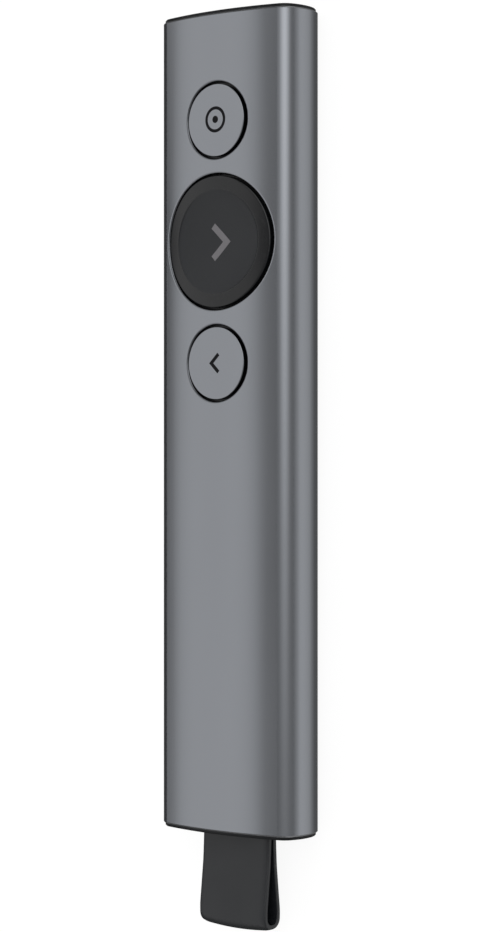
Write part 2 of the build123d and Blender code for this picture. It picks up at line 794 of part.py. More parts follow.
def thumb_dish(y):
    """Cutter for the thumb dish: a torus patch, round in plan, meeting the crowned ring."""
    low = half_depth - dish_depth
    rise = next_proud - dish_step
    across = dish_radius**2 / (2 * (face_height(dish_radius, 0) + rise - low))
    along = dish_radius**2 / (2 * (half_depth + rise - low))
    reach = dish_radius + PAST
    edge = along - sqrt(along**2 - reach**2) - across
    over = dish_depth + next_proud + PAST - across
    corners = [(reach, edge), (reach, over), (-reach, over), (-reach, edge)]
    profile = make_face([ThreePointArc(corners[-1], (0, -across), corners[0]), Polyline(*corners)])
    turn = 2 * (reach + PAST) / across * 180 / pi
    bowl = revolve(Plane.YZ * profile, Axis.Y, turn)
    bowl = Pos(0, y, low + across) * Rot(0, -turn / 2, 0) * bowl
    return bowl & disc(dish_radius, low - PAST, body_depth, 0, y)


def make_next_button(y):
    """Rubber skin with a thumb dish, and the hard core that carries it."""
    span = next_radius + PAST
    skin = disc(next_radius, next_top_low, body_depth, 0, y)
    skin &= body_prism(-next_proud, y - span, y + span)
    rim = rim_edges(skin, next_radius, y, next_top_low)
    side_height = min(edge.bounding_box().min.Z for edge in rim) - next_top_low
    skin = fillet(rim, min(next_edge, side_height / 2))
    skin -= thumb_dish(y)
    core = disc(next_radius - skin_side, next_top_low, half_depth - dish_depth - skin_over_core,
                0, y)
    skin -= core
    carrier = flange(next_flange_radius, stem_top, next_top_low, y)
    carrier += disc(next_radius, stem_top, next_top_low, 0, y)
    carrier += core
    for x, ahead in next_post_places():
        carrier += disc(post_radius, next_post_low, stem_top, x, y + ahead)
    return skin, carrier


def next_post_places():
    """Places of the big button's four guide posts from its middle, across and along."""
    angles = [pi / 4 + turn * pi / 2 for turn in range(4)]
    return [(next_post_offset * cos(angle), next_post_offset * sin(angle)) for angle in angles]


def make_button_guide():
    """Plate over the board whose bores keep the button posts upright."""
    reach = board_half_width - guide_margin
    plate = block((-reach, reach), (guide_start, guide_end), (board_top, guide_top))
    plate = fillet(plate.edges().filter_by(Axis.Z), guide_corner)
    inner = block((-reach + guide_skirt, reach - guide_skirt),
                  (guide_start + guide_skirt, guide_end - guide_skirt), (board_top, guide_low))
    for across in (1, -1):
        for y in guide_screw_ys:
            inner -= disc(boss_radius, board_top, guide_low, across * screw_x, y)
    plate -= inner
    low, high = board_top - PAST, guide_top + PAST
    bore = post_radius + post_fit
    for y in (pointer_y, back_y):
        for side in (1, -1):
            plate -= disc(bore, low, high, 0, y + side * small_post_offset)
    for x, ahead in next_post_places():
        plate -= disc(bore, low, high, x, next_y + ahead)
    for y in (pointer_y, next_y, back_y):
        plate -= disc(guide_switch_hole, low, high, 0, y)
    hole = screw_radius + screw_hole_fit
    for across in (1, -1):
        for y in guide_screw_ys:
            plate -= disc(hole, low, high, across * screw_x, y)
    return plate


# ---- Light ------------------------------------------------------------------------------
def make_status_light():
    """Side-firing lamp on the board's end and the clear guide through the top cap."""
    width, length, height = led_size
    lamp = Pos(0, board_end - length / 2, board_top) * Box(width, length, height, align=FLAT)
    z = board_top + height / 2
    plate_inside = body_length - cap_rim - cap_plate
    guide = rod(light_radius, board_end + part_gap, body_length, z)
    guide += rod(light_radius + light_flange, plate_inside - light_flange_height, plate_inside, z)
    return lamp, guide


# ---- Receiver ---------------------------------------------------------------------------
def make_receiver_shells():
    """Upper and lower halves of the receiver's moulded body."""
    body = rounded_bar(receiver_width, receiver_depth, receiver_corner, 0, receiver_length)
    rims = edges_at(body, Axis.Y, 0) + edges_at(body, Axis.Y, receiver_length)
    body = chamfer(rims, receiver_edge)
    inner = receiver_width - 2 * receiver_wall, receiver_depth - 2 * receiver_wall
    plug_start = receiver_length - plug_held
    body -= rounded_bar(*inner, receiver_inner_corner, receiver_wall, plug_start)
    body -= rounded_bar(plug_width, plug_height, plug_corner, plug_start - PAST,
                        receiver_length + PAST)
    slot = strap_neck + strap_slot_fit
    reach = strap_width / 2 + strap_slot_fit
    body -= block((-reach, reach), (-PAST, receiver_slot_depth), (-slot, slot))
    body -= make_strap_anchor()
    x, y = (-half_width, half_width), (-PAST, receiver_length + PAST)
    upper = body & block(x, y, (0, half_depth))
    lower = body & block(x, y, (-half_depth, 0))
    board = receiver_board_heights()
    rib_y = (receiver_board_start, plug_start)
    for across in (1, -1):
        lap = receiver_board_width / 2 - receiver_rib_grip
        side = sorted((across * lap, across * inner[0] / 2))
        lower += block(side, rib_y, (-inner[1] / 2, board[0]))
        upper += block(side, rib_y, (board[1], inner[1] / 2))
    return upper, lower


def receiver_board_heights():
    """Underside and top of the receiver's board, level with the top of the tongue."""
    return contact_low - receiver_board_thickness, contact_low


def make_receiver_board():
    """Small board between the halves, running into the plug."""
    half = receiver_board_width / 2
    end = plug_tip - plug_tongue_from_tip - plug_tongue_length
    return block((-half, half), (receiver_board_start, end), receiver_board_heights())


def make_receiver_chip():
    """Radio chip on the receiver's board."""
    base = receiver_board_heights()[1]
    y = (receiver_board_start + receiver_length - plug_held) / 2
    return Pos(0, y, base) * Box(*receiver_chip_size, align=FLAT)


def make_plug_shell():
    """Folded metal plug shell with two latch windows in each broad side."""
    start = receiver_length - plug_held
    shell = rounded_bar(plug_width, plug_height, plug_corner, start, plug_tip)
    inner = plug_width - 2 * plug_shell_wall, plug_height - 2 * plug_shell_wall
    shell -= rounded_bar(*inner, plug_corner - plug_shell_wall, start - PAST, plug_tip + PAST)
    y = plug_tip - plug_window_from_tip
    half = plug_window / 2
    for across in (1, -1):
        x = across * plug_window_offset
        shell -= block((x - half, x + half), (y - half, y + half), (-plug_height, plug_height))
    return shell


def make_plug_tongue():
    """Plastic tongue that fills the lower half of the plug shell."""
    half = plug_width / 2 - plug_shell_wall - plug_tongue_side
    end = plug_tip - plug_tongue_from_tip
    tongue = block((-half, half), (end - plug_tongue_length, end),
                   (-plug_inner_top, contact_low))
    lip = edges_at(tongue, Axis.Y, end).filter_by(Axis.X).sort_by(Axis.Z)[-1]
    return chamfer(lip, plug_tongue_lip)


def make_plug_contacts():
    """Four gilt contact strips on the tongue, the outer pair longer."""
    strips = []
    end = plug_tip - plug_tongue_from_tip
    for x, set_back in contacts.items():
        y = (end - plug_tongue_length - contact_overhang, end - set_back)
        strips.append(block((x - contact_width / 2, x + contact_width / 2), y,
                            (contact_low, contact_low + contact_thickness)))
    return strips


def make_strap_anchor():
    """Pin across the receiver that the strap is looped round."""
    length = 2 * (receiver_width / 2 - receiver_wall + anchor_socket)
    return Pos(0, anchor_from_end, 0) * Rot(0, 90, 0) * Cylinder(anchor_radius, length)


def make_strap():
    """Moulded rubber strap: one closed band round the anchor pin and out to a pull loop."""
    root = anchor_radius + strap_pin_fit + strap_thickness
    bends = [
        (-anchor_from_end - root, root, root - 0.01),
        (-anchor_from_end + strap_shoulder_past_pin, root, strap_shoulder_bend),
        (-receiver_wall, strap_neck, strap_neck_bend),
        (strap_reach - strap_parting_from_end, strap_parting, strap_parting_bend),
        (strap_reach - strap_belly_from_end, strap_belly, strap_belly_bend),
        (strap_reach, strap_end_radius, strap_end_radius * strap_end_blend),
    ]
    points = [(x, y) for x, y, _ in bends]
    outline = make_face(Polyline(*points, *[(x, -y) for x, y in reversed(points)], close=True))
    for x, y, blend in bends:
        corners = [
            v for v in outline.vertices() if abs(v.X - x) < 0.01 and abs(abs(v.Y) - y) < 0.01
        ]
        outline = fillet(corners, blend)
    band_section = outline - offset(outline, amount=-strap_thickness)
    side = Plane(origin=(strap_width / 2, 0, 0), x_dir=(0, -1, 0), z_dir=(1, 0, 0))
    return extrude(side * band_section, amount=-strap_width)


# ---- Assembly ---------------------------------------------------------------------------
def make_nodes():
    """Every piece by its node name, in the working frame."""
    nodes = {
        "housing_sleeve": make_housing_sleeve(),
        "top_end_cap": make_top_end_cap(),
        "bottom_end_cap": make_bottom_end_cap(),
        "receiver_dock": make_receiver_dock(),
        "dock_springs": make_dock_springs(),
        "chassis": make_chassis(),
        "button_guide": make_button_guide(),
        "main_board": make_main_board(),
        "chip_antenna": chip(*antenna_size, antenna_x, board_end - antenna_from_end),
        "board_passives": make_passives(),
        "battery_cell": make_battery_cell(),
        "battery_foam": make_battery_foam(),
        "battery_lead_red": make_battery_lead(lead_spacing / 2),
        "battery_lead_black": make_battery_lead(-lead_spacing / 2),
        "motor_foam": make_motor_foam(),
        "board_screws": [screw(side * screw_x, dock_screw_y, board_top) for side in (1, -1)],
        "guide_screws": [
            screw(side * screw_x, y, guide_top) for side in (1, -1) for y in guide_screw_ys
        ],
        "receiver_board": make_receiver_board(),
        "receiver_chip": make_receiver_chip(),
        "plug_shell": make_plug_shell(),
        "plug_tongue": make_plug_tongue(),
        "plug_contacts": make_plug_contacts(),
        "strap_anchor": make_strap_anchor(),
        "strap": make_strap(),
    }
    nodes["port_shell"], nodes["port_tongue"] = make_charging_port()
    nodes["motor_case"], nodes["motor_shaft"], nodes["motor_rotor"] = make_motor()
    nodes["status_lamp"], nodes["light_guide"] = make_status_light()
    nodes["receiver_upper"], nodes["receiver_lower"] = make_receiver_shells()
    for name, (width, length, height, x, share) in chips.items():
        nodes[name] = chip(width, length, height, x, free_station(length, share))
    for name, y in (("pointer", pointer_y), ("next", next_y), ("back", back_y)):
        make = make_next_button if name == "next" else make_small_button
        nodes[f"{name}_top"], nodes[f"{name}_carrier"] = make(y)
        nodes[f"{name}_switch_case"] = make_switch_case(y)
        nodes[f"{name}_switch_stem"] = make_switch_stem(y)
        nodes[f"{name}_switch_dome"] = make_switch_dome(y)
    return nodes


def finished(piece):
    """The piece in the part's own frame, as one compound of its solids."""
    start = (strap_reach - body_length) / 2
    solids = piece if isinstance(piece, list) else piece.solids()
    moved = [Pos(0, start, half_depth) * solid for made in solids for solid in made.solids()]
    return moved[0] if len(moved) == 1 else Compound(children=moved)


def main():
    os.makedirs("parts", exist_ok=True)
    for name, piece in make_nodes().items():
        export_step(finished(piece), f"parts/{name}.step")


if __name__ == "__main__":
    main()
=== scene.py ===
import logging
from abc import ABC, abstractmethod
from collections.abc import Callable, Sequence
from dataclasses import dataclass
from enum import Enum
from math import cos, hypot, pi, radians, sin, sqrt, tan
from typing import Protocol

import bmesh
import bpy
from bpy.types import ID, ColorRamp, Material, Node, NodeSocket, Object, World
from mathutils import Matrix, Vector


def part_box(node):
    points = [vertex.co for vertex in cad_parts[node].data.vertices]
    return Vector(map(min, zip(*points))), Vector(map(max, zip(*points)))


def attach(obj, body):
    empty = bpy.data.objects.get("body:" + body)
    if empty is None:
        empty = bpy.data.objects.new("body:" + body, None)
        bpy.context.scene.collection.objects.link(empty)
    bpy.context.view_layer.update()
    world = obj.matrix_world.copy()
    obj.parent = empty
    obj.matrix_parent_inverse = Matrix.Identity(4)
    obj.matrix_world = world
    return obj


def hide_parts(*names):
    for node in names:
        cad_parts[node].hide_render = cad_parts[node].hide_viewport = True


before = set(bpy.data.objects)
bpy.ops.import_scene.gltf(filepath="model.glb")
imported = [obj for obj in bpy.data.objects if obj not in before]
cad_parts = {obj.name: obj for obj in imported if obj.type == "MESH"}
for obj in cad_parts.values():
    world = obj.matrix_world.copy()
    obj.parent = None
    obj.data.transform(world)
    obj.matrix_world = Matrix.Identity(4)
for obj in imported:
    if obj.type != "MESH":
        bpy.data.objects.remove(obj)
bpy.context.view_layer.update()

LOG = logging.getLogger("clicker")
MM = 0.001
Flat = tuple[float, float]
Point = tuple[float, float, float]
Colour = tuple[float, float, float]
Height = Callable[[float, float], float]


class Body(Enum):
    """Rigid bodies of the clicker, by their names in the frame."""

    RECEIVER = "receiver"
    POINTER = "pointer_button"
    NEXT = "next_button"
    BACK = "back_button"


class Slot(Enum):
    """Finishes of the record for remade pieces, which no piece here is given."""

    METAL = "anodised_aluminium"
    PAD = "button_rubber"
    STRAP = "strap_rubber"


class Pointing(Enum):
    """Which way a chevron points across the body."""

    RIGHT = 1
    LEFT = -1


# ---- Shader maths ----
class Value:
    """A number that varies over a surface, held as one output socket of a shader tree."""

    def __init__(self, shader: "Shader", socket: NodeSocket) -> None:
        """Wraps a socket of a shader's tree."""
        self.shader = shader
        self.socket = socket

    def _maths(self, operation: str, *operands: "Value | float") -> "Value":
        """Adds one Math node.

        Args:
            operation: the node's operation.
            operands: numbers or values, in the order of its inputs.

        Returns:
            The node's result.
        """
        links = dict(enumerate(operands))
        made = self.shader.node("ShaderNodeMath", {"operation": operation}, links)
        return Value(self.shader, made.outputs[0])

    def __add__(self, other: "Value | float") -> "Value":
        """Sum."""
        return self._maths("ADD", self, other)

    def __sub__(self, other: "Value | float") -> "Value":
        """Difference."""
        return self._maths("SUBTRACT", self, other)

    def __rsub__(self, other: float) -> "Value":
        """Difference with the value on the right."""
        return self._maths("SUBTRACT", other, self)

    def __mul__(self, other: "Value | float") -> "Value":
        """Product."""
        return self._maths("MULTIPLY", self, other)

    def __truediv__(self, other: "Value | float") -> "Value":
        """Quotient."""
        return self._maths("DIVIDE", self, other)

    def __pow__(self, other: float) -> "Value":
        """Power."""
        return self._maths("POWER", self, other)

    def __abs__(self) -> "Value":
        """Size without sign."""
        return self._maths("ABSOLUTE", self)

    __radd__ = __add__
    __rmul__ = __mul__

    def most(self, other: "Value | float") -> "Value":
        """The larger of two."""
        return self._maths("MAXIMUM", self, other)

    def wave(self) -> "Value":
        """Sine of an angle in radians."""
        return self._maths("SINE", self)

    def angle_over(self, other: "Value | float") -> "Value":
        """Angle, in radians, whose tangent is this value over another."""
        return self._maths("ARCTAN2", self, other)

    def rise(self, low: float, high: float) -> "Value":
        """Smooth step from 0 at low to 1 at high, where low may be the larger.

        Args:
            low: where the step starts.
            high: where it ends.

        Returns:
            The step, from 0 to 1.
        """
        limits = {0: self, 1: min(low, high), 2: max(low, high), 3: 0.0, 4: 1.0}
        settings = {"interpolation_type": "SMOOTHSTEP"}
        made = self.shader.node("ShaderNodeMapRange", settings, limits)
        step = Value(self.shader, made.outputs[0])
        return 1 - step if low > high else step


@dataclass
class Place:
    """Coordinates of a surface point in the frame, in metres, each as a value."""

    x: Value
    y: Value
    z: Value

    def from_axis(self, y: float) -> Value:
        """Distance from the upright axis through (0, y)."""
        ahead = self.y - y
        return (self.x * self.x + ahead * ahead) ** 0.5


class Shader:
    """A node tree with one method that makes any node."""

    def __init__(self, owner: Material | World) -> None:
        """Starts an empty tree.

        Args:
            owner: the material or world whose tree this is.
        """
        owner.use_nodes = True
        self.owner = owner
        self.tree = owner.node_tree
        self.tree.nodes.clear()

    @classmethod
    def named(cls, name: str) -> "Shader":
        """Tree of a new material."""
        return cls(bpy.data.materials.new(name))

    def node(
        self, kind: str, settings: dict | None = None, links: dict | None = None
    ) -> Node:
        """Makes one node.

        Args:
            kind: the node's Blender type.
            settings: its own settings, set first; "stops" are a ramp's places and greys.
            links: the value or source of each input, by the input's name or number.

        Returns:
            The node.
        """
        made = self.tree.nodes.new(kind)
        for key, setting in (settings or {}).items():
            if key == "stops":
                self._set_stops(made.color_ramp, setting)
            else:
                setattr(made, key, setting)
        for key, source in (links or {}).items():
            source = source.socket if isinstance(source, Value) else source
            if isinstance(source, NodeSocket):
                self.tree.links.new(source, made.inputs[key])
            else:
                made.inputs[key].default_value = source
        return made

    @staticmethod
    def _set_stops(ramp: ColorRamp, stops: Sequence[Flat]) -> None:
        """Gives a new node's ramp its stops.

        Args:
            ramp: the ramp, which starts with two stops.
            stops: place and grey of each stop, both from 0 to 1.
        """
        ramp.elements[0].position, ramp.elements[-1].position = stops[0][0], stops[-1][0]
        for place, _ in stops[1:-1]:
            ramp.elements.new(place)
        for element, (_, grey) in zip(ramp.elements, stops, strict=True):
            element.color = (grey, grey, grey, 1.0)

    def split(self, source: NodeSocket) -> Place:
        """Parts of a vector."""
        parts = self.node("ShaderNodeSeparateXYZ", links={0: source}).outputs
        return Place(*(Value(self, part) for part in parts))

    def coordinates(self, kind: str = "Object") -> NodeSocket:
        """Coordinates of the Texture Coordinate node, by name."""
        return self.node("ShaderNodeTexCoord").outputs[kind]

    def place(self) -> Place:
        """Place in the clicker's own frame, which every piece's object keeps."""
        return self.split(self.coordinates())

    def ray(self, kind: str) -> Value:
        """1 for rays of one kind, such as Camera, and 0 for the others."""
        return Value(self, self.node("ShaderNodeLightPath").outputs[f"Is {kind} Ray"])

    def sight(self) -> Value:
        """1 for rays that the camera sees straight or through something clear, 0 for others."""
        return self.ray("Camera").most(self.ray("Transmission"))

    def noise(self, size: float, detail: float = 2.0, stretch: Point = (1, 1, 1)) -> Value:
        """Cloudy noise fixed to the object.

        Args:
            size: rough size of one patch, in metres.
            detail: number of finer layers.
            stretch: how much longer the patches are along each axis.

        Returns:
            Noise about 0.5.
        """
        scale = tuple(1 / (size * times) for times in stretch)
        links = {"Vector": self.coordinates(), "Scale": scale}
        mapped = self.node("ShaderNodeMapping", links=links).outputs[0]
        links = {"Vector": mapped, "Scale": 1.0, "Detail": detail}
        return Value(self, self.node("ShaderNodeTexNoise", links=links).outputs[0])

    def grains(self, size: float) -> Value:
        """Rounded grains of a size: 1 on top of a grain, falling to about 0 between grains."""
        links = {"Vector": self.coordinates(), "Scale": 1 / size}
        return 1 - Value(self, self.node("ShaderNodeTexVoronoi", links=links).outputs[0])

    def mixed(self, share: Value, first: object, second: object) -> NodeSocket:
        """Colour from the first, at share 0, to the second, at share 1."""
        links = {0: share, 6: opaque(first), 7: opaque(second)}
        return self.node("ShaderNodeMix", {"data_type": "RGBA"}, links).outputs[2]

    def toned(self, colour: Colour, strength: Value) -> NodeSocket:
        """Colour multiplied by a strength."""
        links = {0: colour, "Scale": strength}
        return self.node("ShaderNodeVectorMath", {"operation": "SCALE"}, links).outputs[0]

    def relief(self, height: Value, depth: float) -> NodeSocket:
        """Normal of a surface with fine relief, where height 1 stands as high as depth."""
        links = {"Height": height, "Distance": depth, "Strength": 1.0}
        return self.node("ShaderNodeBump", links=links).outputs[0]

    def surface(self, **sockets: object) -> Material:
        """Ends the tree in a Principled shader.

        Args:
            sockets: its inputs by name, with _ for each space.

        Returns:
            The finished material.
        """
        links = {key.replace("_", " "): opaque(source) for key, source in sockets.items()}
        shader = self.node("ShaderNodeBsdfPrincipled", links=links)
        self.node("ShaderNodeOutputMaterial", links={"Surface": shader.outputs[0]})
        return self.owner


def opaque(colour: object) -> object:
    """A colour with full alpha, or anything else as it is."""
    return (*colour, 1.0) if isinstance(colour, tuple) else colour


def weighed(weights: Sequence[float], *parts: Value) -> Value:
    """The first weight, plus each part times its own weight."""
    return sum((weight * part for weight, part in zip(weights[1:], parts)), weights[0])


# ---- Finishes ----
# In each finish, the tone is a plain level and what each noise adds to it, and so is a roughness
# of several numbers. Where the roughness is one number, uneven is what each noise adds to it.
class Finish(Protocol):
    """Anything that can make its own material."""

    name: str

    def material(self) -> Material:
        """Makes the material."""


def coat(finish: Finish) -> Material:
    """The finish's material, which is made the first time that it is asked for."""
    return bpy.data.materials.get(finish.name) or finish.material()


@dataclass(frozen=True)
class SatinAluminium:
    """Bead-blasted, anodised aluminium.

    The ends, cut after the dye, are brighter. Painted shade darkens the rolled edge of each hole,
    given by the station of its axis and its radius, most at the hole's rim.
    """

    name: str
    ends: Flat | None = None
    holes: tuple[Flat, ...] = ()
    hole_edge: float = 0.42 * MM
    hole_painted_shade: float = 0.2
    end_width: float = 0.25 * MM
    end_soft: float = 0.03 * MM
    colour: Colour = (0.236, 0.246, 0.265)
    cut_colour: Colour = (0.6, 0.61, 0.63)
    tone: Point = (0.93, 0.08, 0.06)
    roughness: float = 0.22
    uneven: Flat = (0.06, 0.03)
    grain: float = 0.13 * MM
    grain_depth: float = 0.001 * MM
    cloud: float = 9 * MM
    cloud_stretch: Point = (1.0, 3.0, 1.0)

    def material(self) -> Material:
        """Makes the material.

        Returns:
            The material.
        """
        shader = Shader.named(self.name)
        grain = shader.noise(self.grain, detail=3.0)
        cloud = shader.noise(self.cloud, stretch=self.cloud_stretch)
        tone = weighed(self.tone, grain, cloud)
        place = shader.place()
        for y, radius in self.holes:
            # painted shade: the metal darkens towards each hole's rim, across the width of its rolled
            # edge
            edge = radius + self.hole_edge
            tone *= 1 - (1 - self.hole_painted_shade) * place.from_axis(y).rise(edge, radius)
        colour = shader.toned(self.colour, tone)
        if self.ends is not None:
            colour = shader.mixed(self._cut(place.y), colour, self.cut_colour)
        return shader.surface(
            Base_Color=colour,
            Metallic=1.0,
            Roughness=weighed((self.roughness, *self.uneven), grain - 0.5, cloud - 0.5),
            Normal=shader.relief(grain, self.grain_depth),
        )

    def _cut(self, y: Value) -> Value:
        """1 on the two cut ends, 0 elsewhere, from the place along the body."""
        low, high = self.ends[0] + self.end_width, self.ends[1] - self.end_width
        return y.rise(low, low - self.end_soft).most(y.rise(high, high + self.end_soft))


@dataclass(frozen=True)
class MouldedPlastic:
    """Spark-eroded moulded plastic: fine even grain over faint flow clouds."""

    name: str
    colour: Colour
    roughness: float = 0.5
    specular: float = 0.5
    tone: Point = (0.85, 0.14, 0.14)
    uneven: float = 0.1
    grain: float = 0.16 * MM
    grain_depth: float = 0.006 * MM
    cloud: float = 4 * MM

    def material(self) -> Material:
        """Makes the material.

        Returns:
            The material.
        """
        shader = Shader.named(self.name)
        grain = shader.grains(self.grain)
        cloud = shader.noise(self.cloud)
        return shader.surface(
            Base_Color=shader.toned(self.colour, weighed(self.tone, grain, cloud)),
            Roughness=self.roughness + self.uneven * (cloud - 0.5),
            Specular_IOR_Level=self.specular,
            Normal=shader.relief(grain, self.grain_depth),
        )


@dataclass(frozen=True)
class SilkRubber:
    """Silk-matt silicone rubber with a soft grain and a trace of dust.

    Outside a dish, given by the station of its axis and its radius, it is darker and polished.
    """

    name: str
    colour: Colour
    roughness: float = 0.45
    ring_roughness: float = 0.2
    ring_shade: float = 0.4
    specular: float = 0.5
    dish: Flat | None = None
    dish_soft: float = 0.5 * MM
    tone: Point = (0.88, 0.16, 0.08)
    uneven: Flat = (0.1, 0.06)
    grain: float = 0.2 * MM
    grain_depth: float = 0.003 * MM
    cloud: float = 5 * MM
    dust: float = 0.8 * MM
    dust_limits: Flat = (0.52, 0.75)
    dust_share: float = 0.06
    dust_colour: Colour = (0.06, 0.06, 0.06)

    def material(self) -> Material:
        """Makes the material.

        Returns:
            The material.
        """
        shader = Shader.named(self.name)
        grain = shader.noise(self.grain, detail=3.0)
        cloud = shader.noise(self.cloud, detail=3.0)
        dust = shader.noise(self.dust, detail=4.0).rise(*self.dust_limits)
        tone = weighed(self.tone, grain, cloud)
        roughness = weighed((self.roughness, *self.uneven), cloud - 0.5, dust)
        if self.dish is not None:
            y, radius = self.dish
            half = self.dish_soft / 2
            ring = shader.place().from_axis(y).rise(radius - half, radius + half)
            tone *= 1 - (1 - self.ring_shade) * ring
            roughness -= (self.roughness - self.ring_roughness) * ring
        colour = shader.toned(self.colour, tone)
        return shader.surface(
            Base_Color=shader.mixed(self.dust_share * dust, colour, self.dust_colour),
            Roughness=roughness,
            Specular_IOR_Level=self.specular,
            Normal=shader.relief(grain, self.grain_depth),
        )


@dataclass(frozen=True)
class PlatedMetal:
    """Plated or stamped metal with fine drawn lines and dulled patches."""

    name: str
    colour: Colour
    roughness: float = 0.24
    tone: Point = (0.84, 0.14, 0.16)
    uneven: Flat = (0.1, 0.14)
    line: float = 0.06 * MM
    line_stretch: Point = (1.0, 25.0, 1.0)
    line_depth: float = 0.0015 * MM
    patch: float = 2.5 * MM

    def material(self) -> Material:
        """Makes the material.

        Returns:
            The material.
        """
        shader = Shader.named(self.name)
        line = shader.noise(self.line, 3.0, self.line_stretch)
        patch = shader.noise(self.patch, detail=4.0)
        return shader.surface(
            Base_Color=shader.toned(self.colour, weighed(self.tone, line, patch)),
            Metallic=1.0,
            Roughness=weighed((self.roughness, *self.uneven), line - 0.5, patch - 0.5),
            Normal=shader.relief(line, self.line_depth),
        )


@dataclass(frozen=True)
class SolderMask:
    """Green solder mask that sinks between copper tracks."""

    name: str
    colour: Colour = (0.012, 0.075, 0.045)
    track_colour: Colour = (0.025, 0.135, 0.08)
    track_pitch: float = 0.9 * MM
    track_limits: Flat = (0.72, 0.84)
    track_share: float = 0.75
    track_height: float = 0.02 * MM
    wander: float = 6 * MM
    wander_turn: float = 14.0
    weave: float = 0.3 * MM
    weave_share: float = 0.3
    weave_colour: Colour = (0.0, 0.03, 0.02)
    roughness: Flat = (0.24, 0.12)

    def material(self) -> Material:
        """Makes the material.

        Returns:
            The material.
        """
        shader = Shader.named(self.name)
        place = shader.place()
        bends = shader.noise(self.wander, detail=1.0)
        run = (place.x * (pi / self.track_pitch) + self.wander_turn * bends).wave()
        tracks = abs(run).rise(*self.track_limits)
        weave = shader.noise(self.weave)
        colour = shader.mixed(self.track_share * tracks, self.colour, self.track_colour)
        return shader.surface(
            Base_Color=shader.mixed(self.weave_share * weave, colour, self.weave_colour),
            Roughness=weighed(self.roughness, weave),
            Normal=shader.relief(tracks, self.track_height),
        )


@dataclass(frozen=True)
class Speckled:
    """Body material with fine speckle over soft clouds: epoxy, ceramic, foam or foil."""

    name: str
    colour: Colour
    speck_colour: Colour
    size: float = 0.12 * MM
    roughness: float = 0.5
    metallic: float = 0.0
    depth: float = 0.004 * MM
    limits: Flat = (0.45, 0.65)
    shares: Flat = (0.35, 0.25)
    cloud_times: float = 12.0
    uneven: float = 0.15

    def material(self) -> Material:
        """Makes the material.

        Returns:
            The material.
        """
        shader = Shader.named(self.name)
        speck = shader.noise(self.size, detail=4.0).rise(*self.limits)
        cloud = shader.noise(self.cloud_times * self.size)
        share = self.shares[0] * speck + self.shares[1] * cloud
        return shader.surface(
            Base_Color=shader.mixed(share, self.colour, self.speck_colour),
            Metallic=self.metallic,
            Roughness=self.roughness + self.uneven * (cloud - 0.5),
            Normal=shader.relief(speck, self.depth),
        )


@dataclass(frozen=True)
class Terminated:
    """Tiny components: a ceramic middle between tinned ends, which face along the body."""

    name: str
    colour: Colour = (0.3, 0.2, 0.13)
    tin: Colour = (0.66, 0.66, 0.67)
    tin_limits: Flat = (0.4, 0.6)
    wear: float = 0.2 * MM
    tone: Flat = (0.8, 0.4)
    roughness: Point = (0.4, -0.1, 0.1)

    def material(self) -> Material:
        """Makes the material.

        Returns:
            The material.
        """
        shader = Shader.named(self.name)
        facing = shader.split(shader.node("ShaderNodeNewGeometry").outputs["Normal"])
        ends = abs(facing.y).rise(*self.tin_limits)
        wear = shader.noise(self.wear)
        body = shader.toned(self.colour, weighed(self.tone, wear))
        return shader.surface(
            Base_Color=shader.mixed(ends, body, self.tin),
            Metallic=ends,
            Roughness=weighed(self.roughness, ends, wear),
        )


@dataclass(frozen=True)
class ClearMoulding:
    """Clear, slightly cloudy plastic that carries light."""

    name: str
    colour: Colour = (0.88, 0.9, 0.92)
    cloud: float = 0.6 * MM
    cloud_share: float = 0.3
    cloud_colour: Colour = (0.74, 0.78, 0.82)
    roughness: Flat = (0.14, 0.12)

    def material(self) -> Material:
        """Makes the material.

        Returns:
            The material.
        """
        shader = Shader.named(self.name)
        cloud = shader.noise(self.cloud)
        return shader.surface(
            Base_Color=shader.mixed(self.cloud_share * cloud, self.colour, self.cloud_colour),
            Roughness=weighed(self.roughness, cloud),
            Transmission_Weight=0.6,
            IOR=1.49,
        )


@dataclass(frozen=True)
class PadPrint:
    """Thin layer of ink, slightly uneven in tone."""

    name: str
    colour: Colour
    specular: float = 0.5
    tone: Flat = (0.86, 0.28)
    roughness: float = 0.5
    uneven: float = 0.15
    blotch: float = 0.25 * MM
    thickness: float = 0.002 * MM

    def material(self) -> Material:
        """Makes the material.

        Returns:
            The material.
        """
        shader = Shader.named(self.name)
        blotch = shader.noise(self.blotch, detail=3.0)
        return shader.surface(
            Base_Color=shader.toned(self.colour, weighed(self.tone, blotch)),
            Roughness=self.roughness + self.uneven * (blotch - 0.5),
            Specular_IOR_Level=self.specular,
            Normal=shader.relief(blotch, self.thickness),
        )


# ---- Meshes ----
def shown(name: str, data: ID) -> Object:
    """Links a new object that shows a mesh, a lamp or a camera.

    Args:
        name: the object's name.
        data: what it shows.

    Returns:
        The object.
    """
    made = bpy.data.objects.new(name, data)
    bpy.context.scene.collection.objects.link(made)
    return made


def meshed(name: str, shape: bmesh.types.BMesh, paint: Material) -> Object:
    """Makes an object of an edit mesh, which is freed.

    Args:
        name: the object's name.
        shape: the edit mesh.
        paint: what it wears.

    Returns:
        The object, linked to the scene.
    """
    mesh = bpy.data.meshes.new(name)
    shape.to_mesh(mesh)
    shape.free()
    mesh.materials.append(paint)
    return shown(name, mesh)


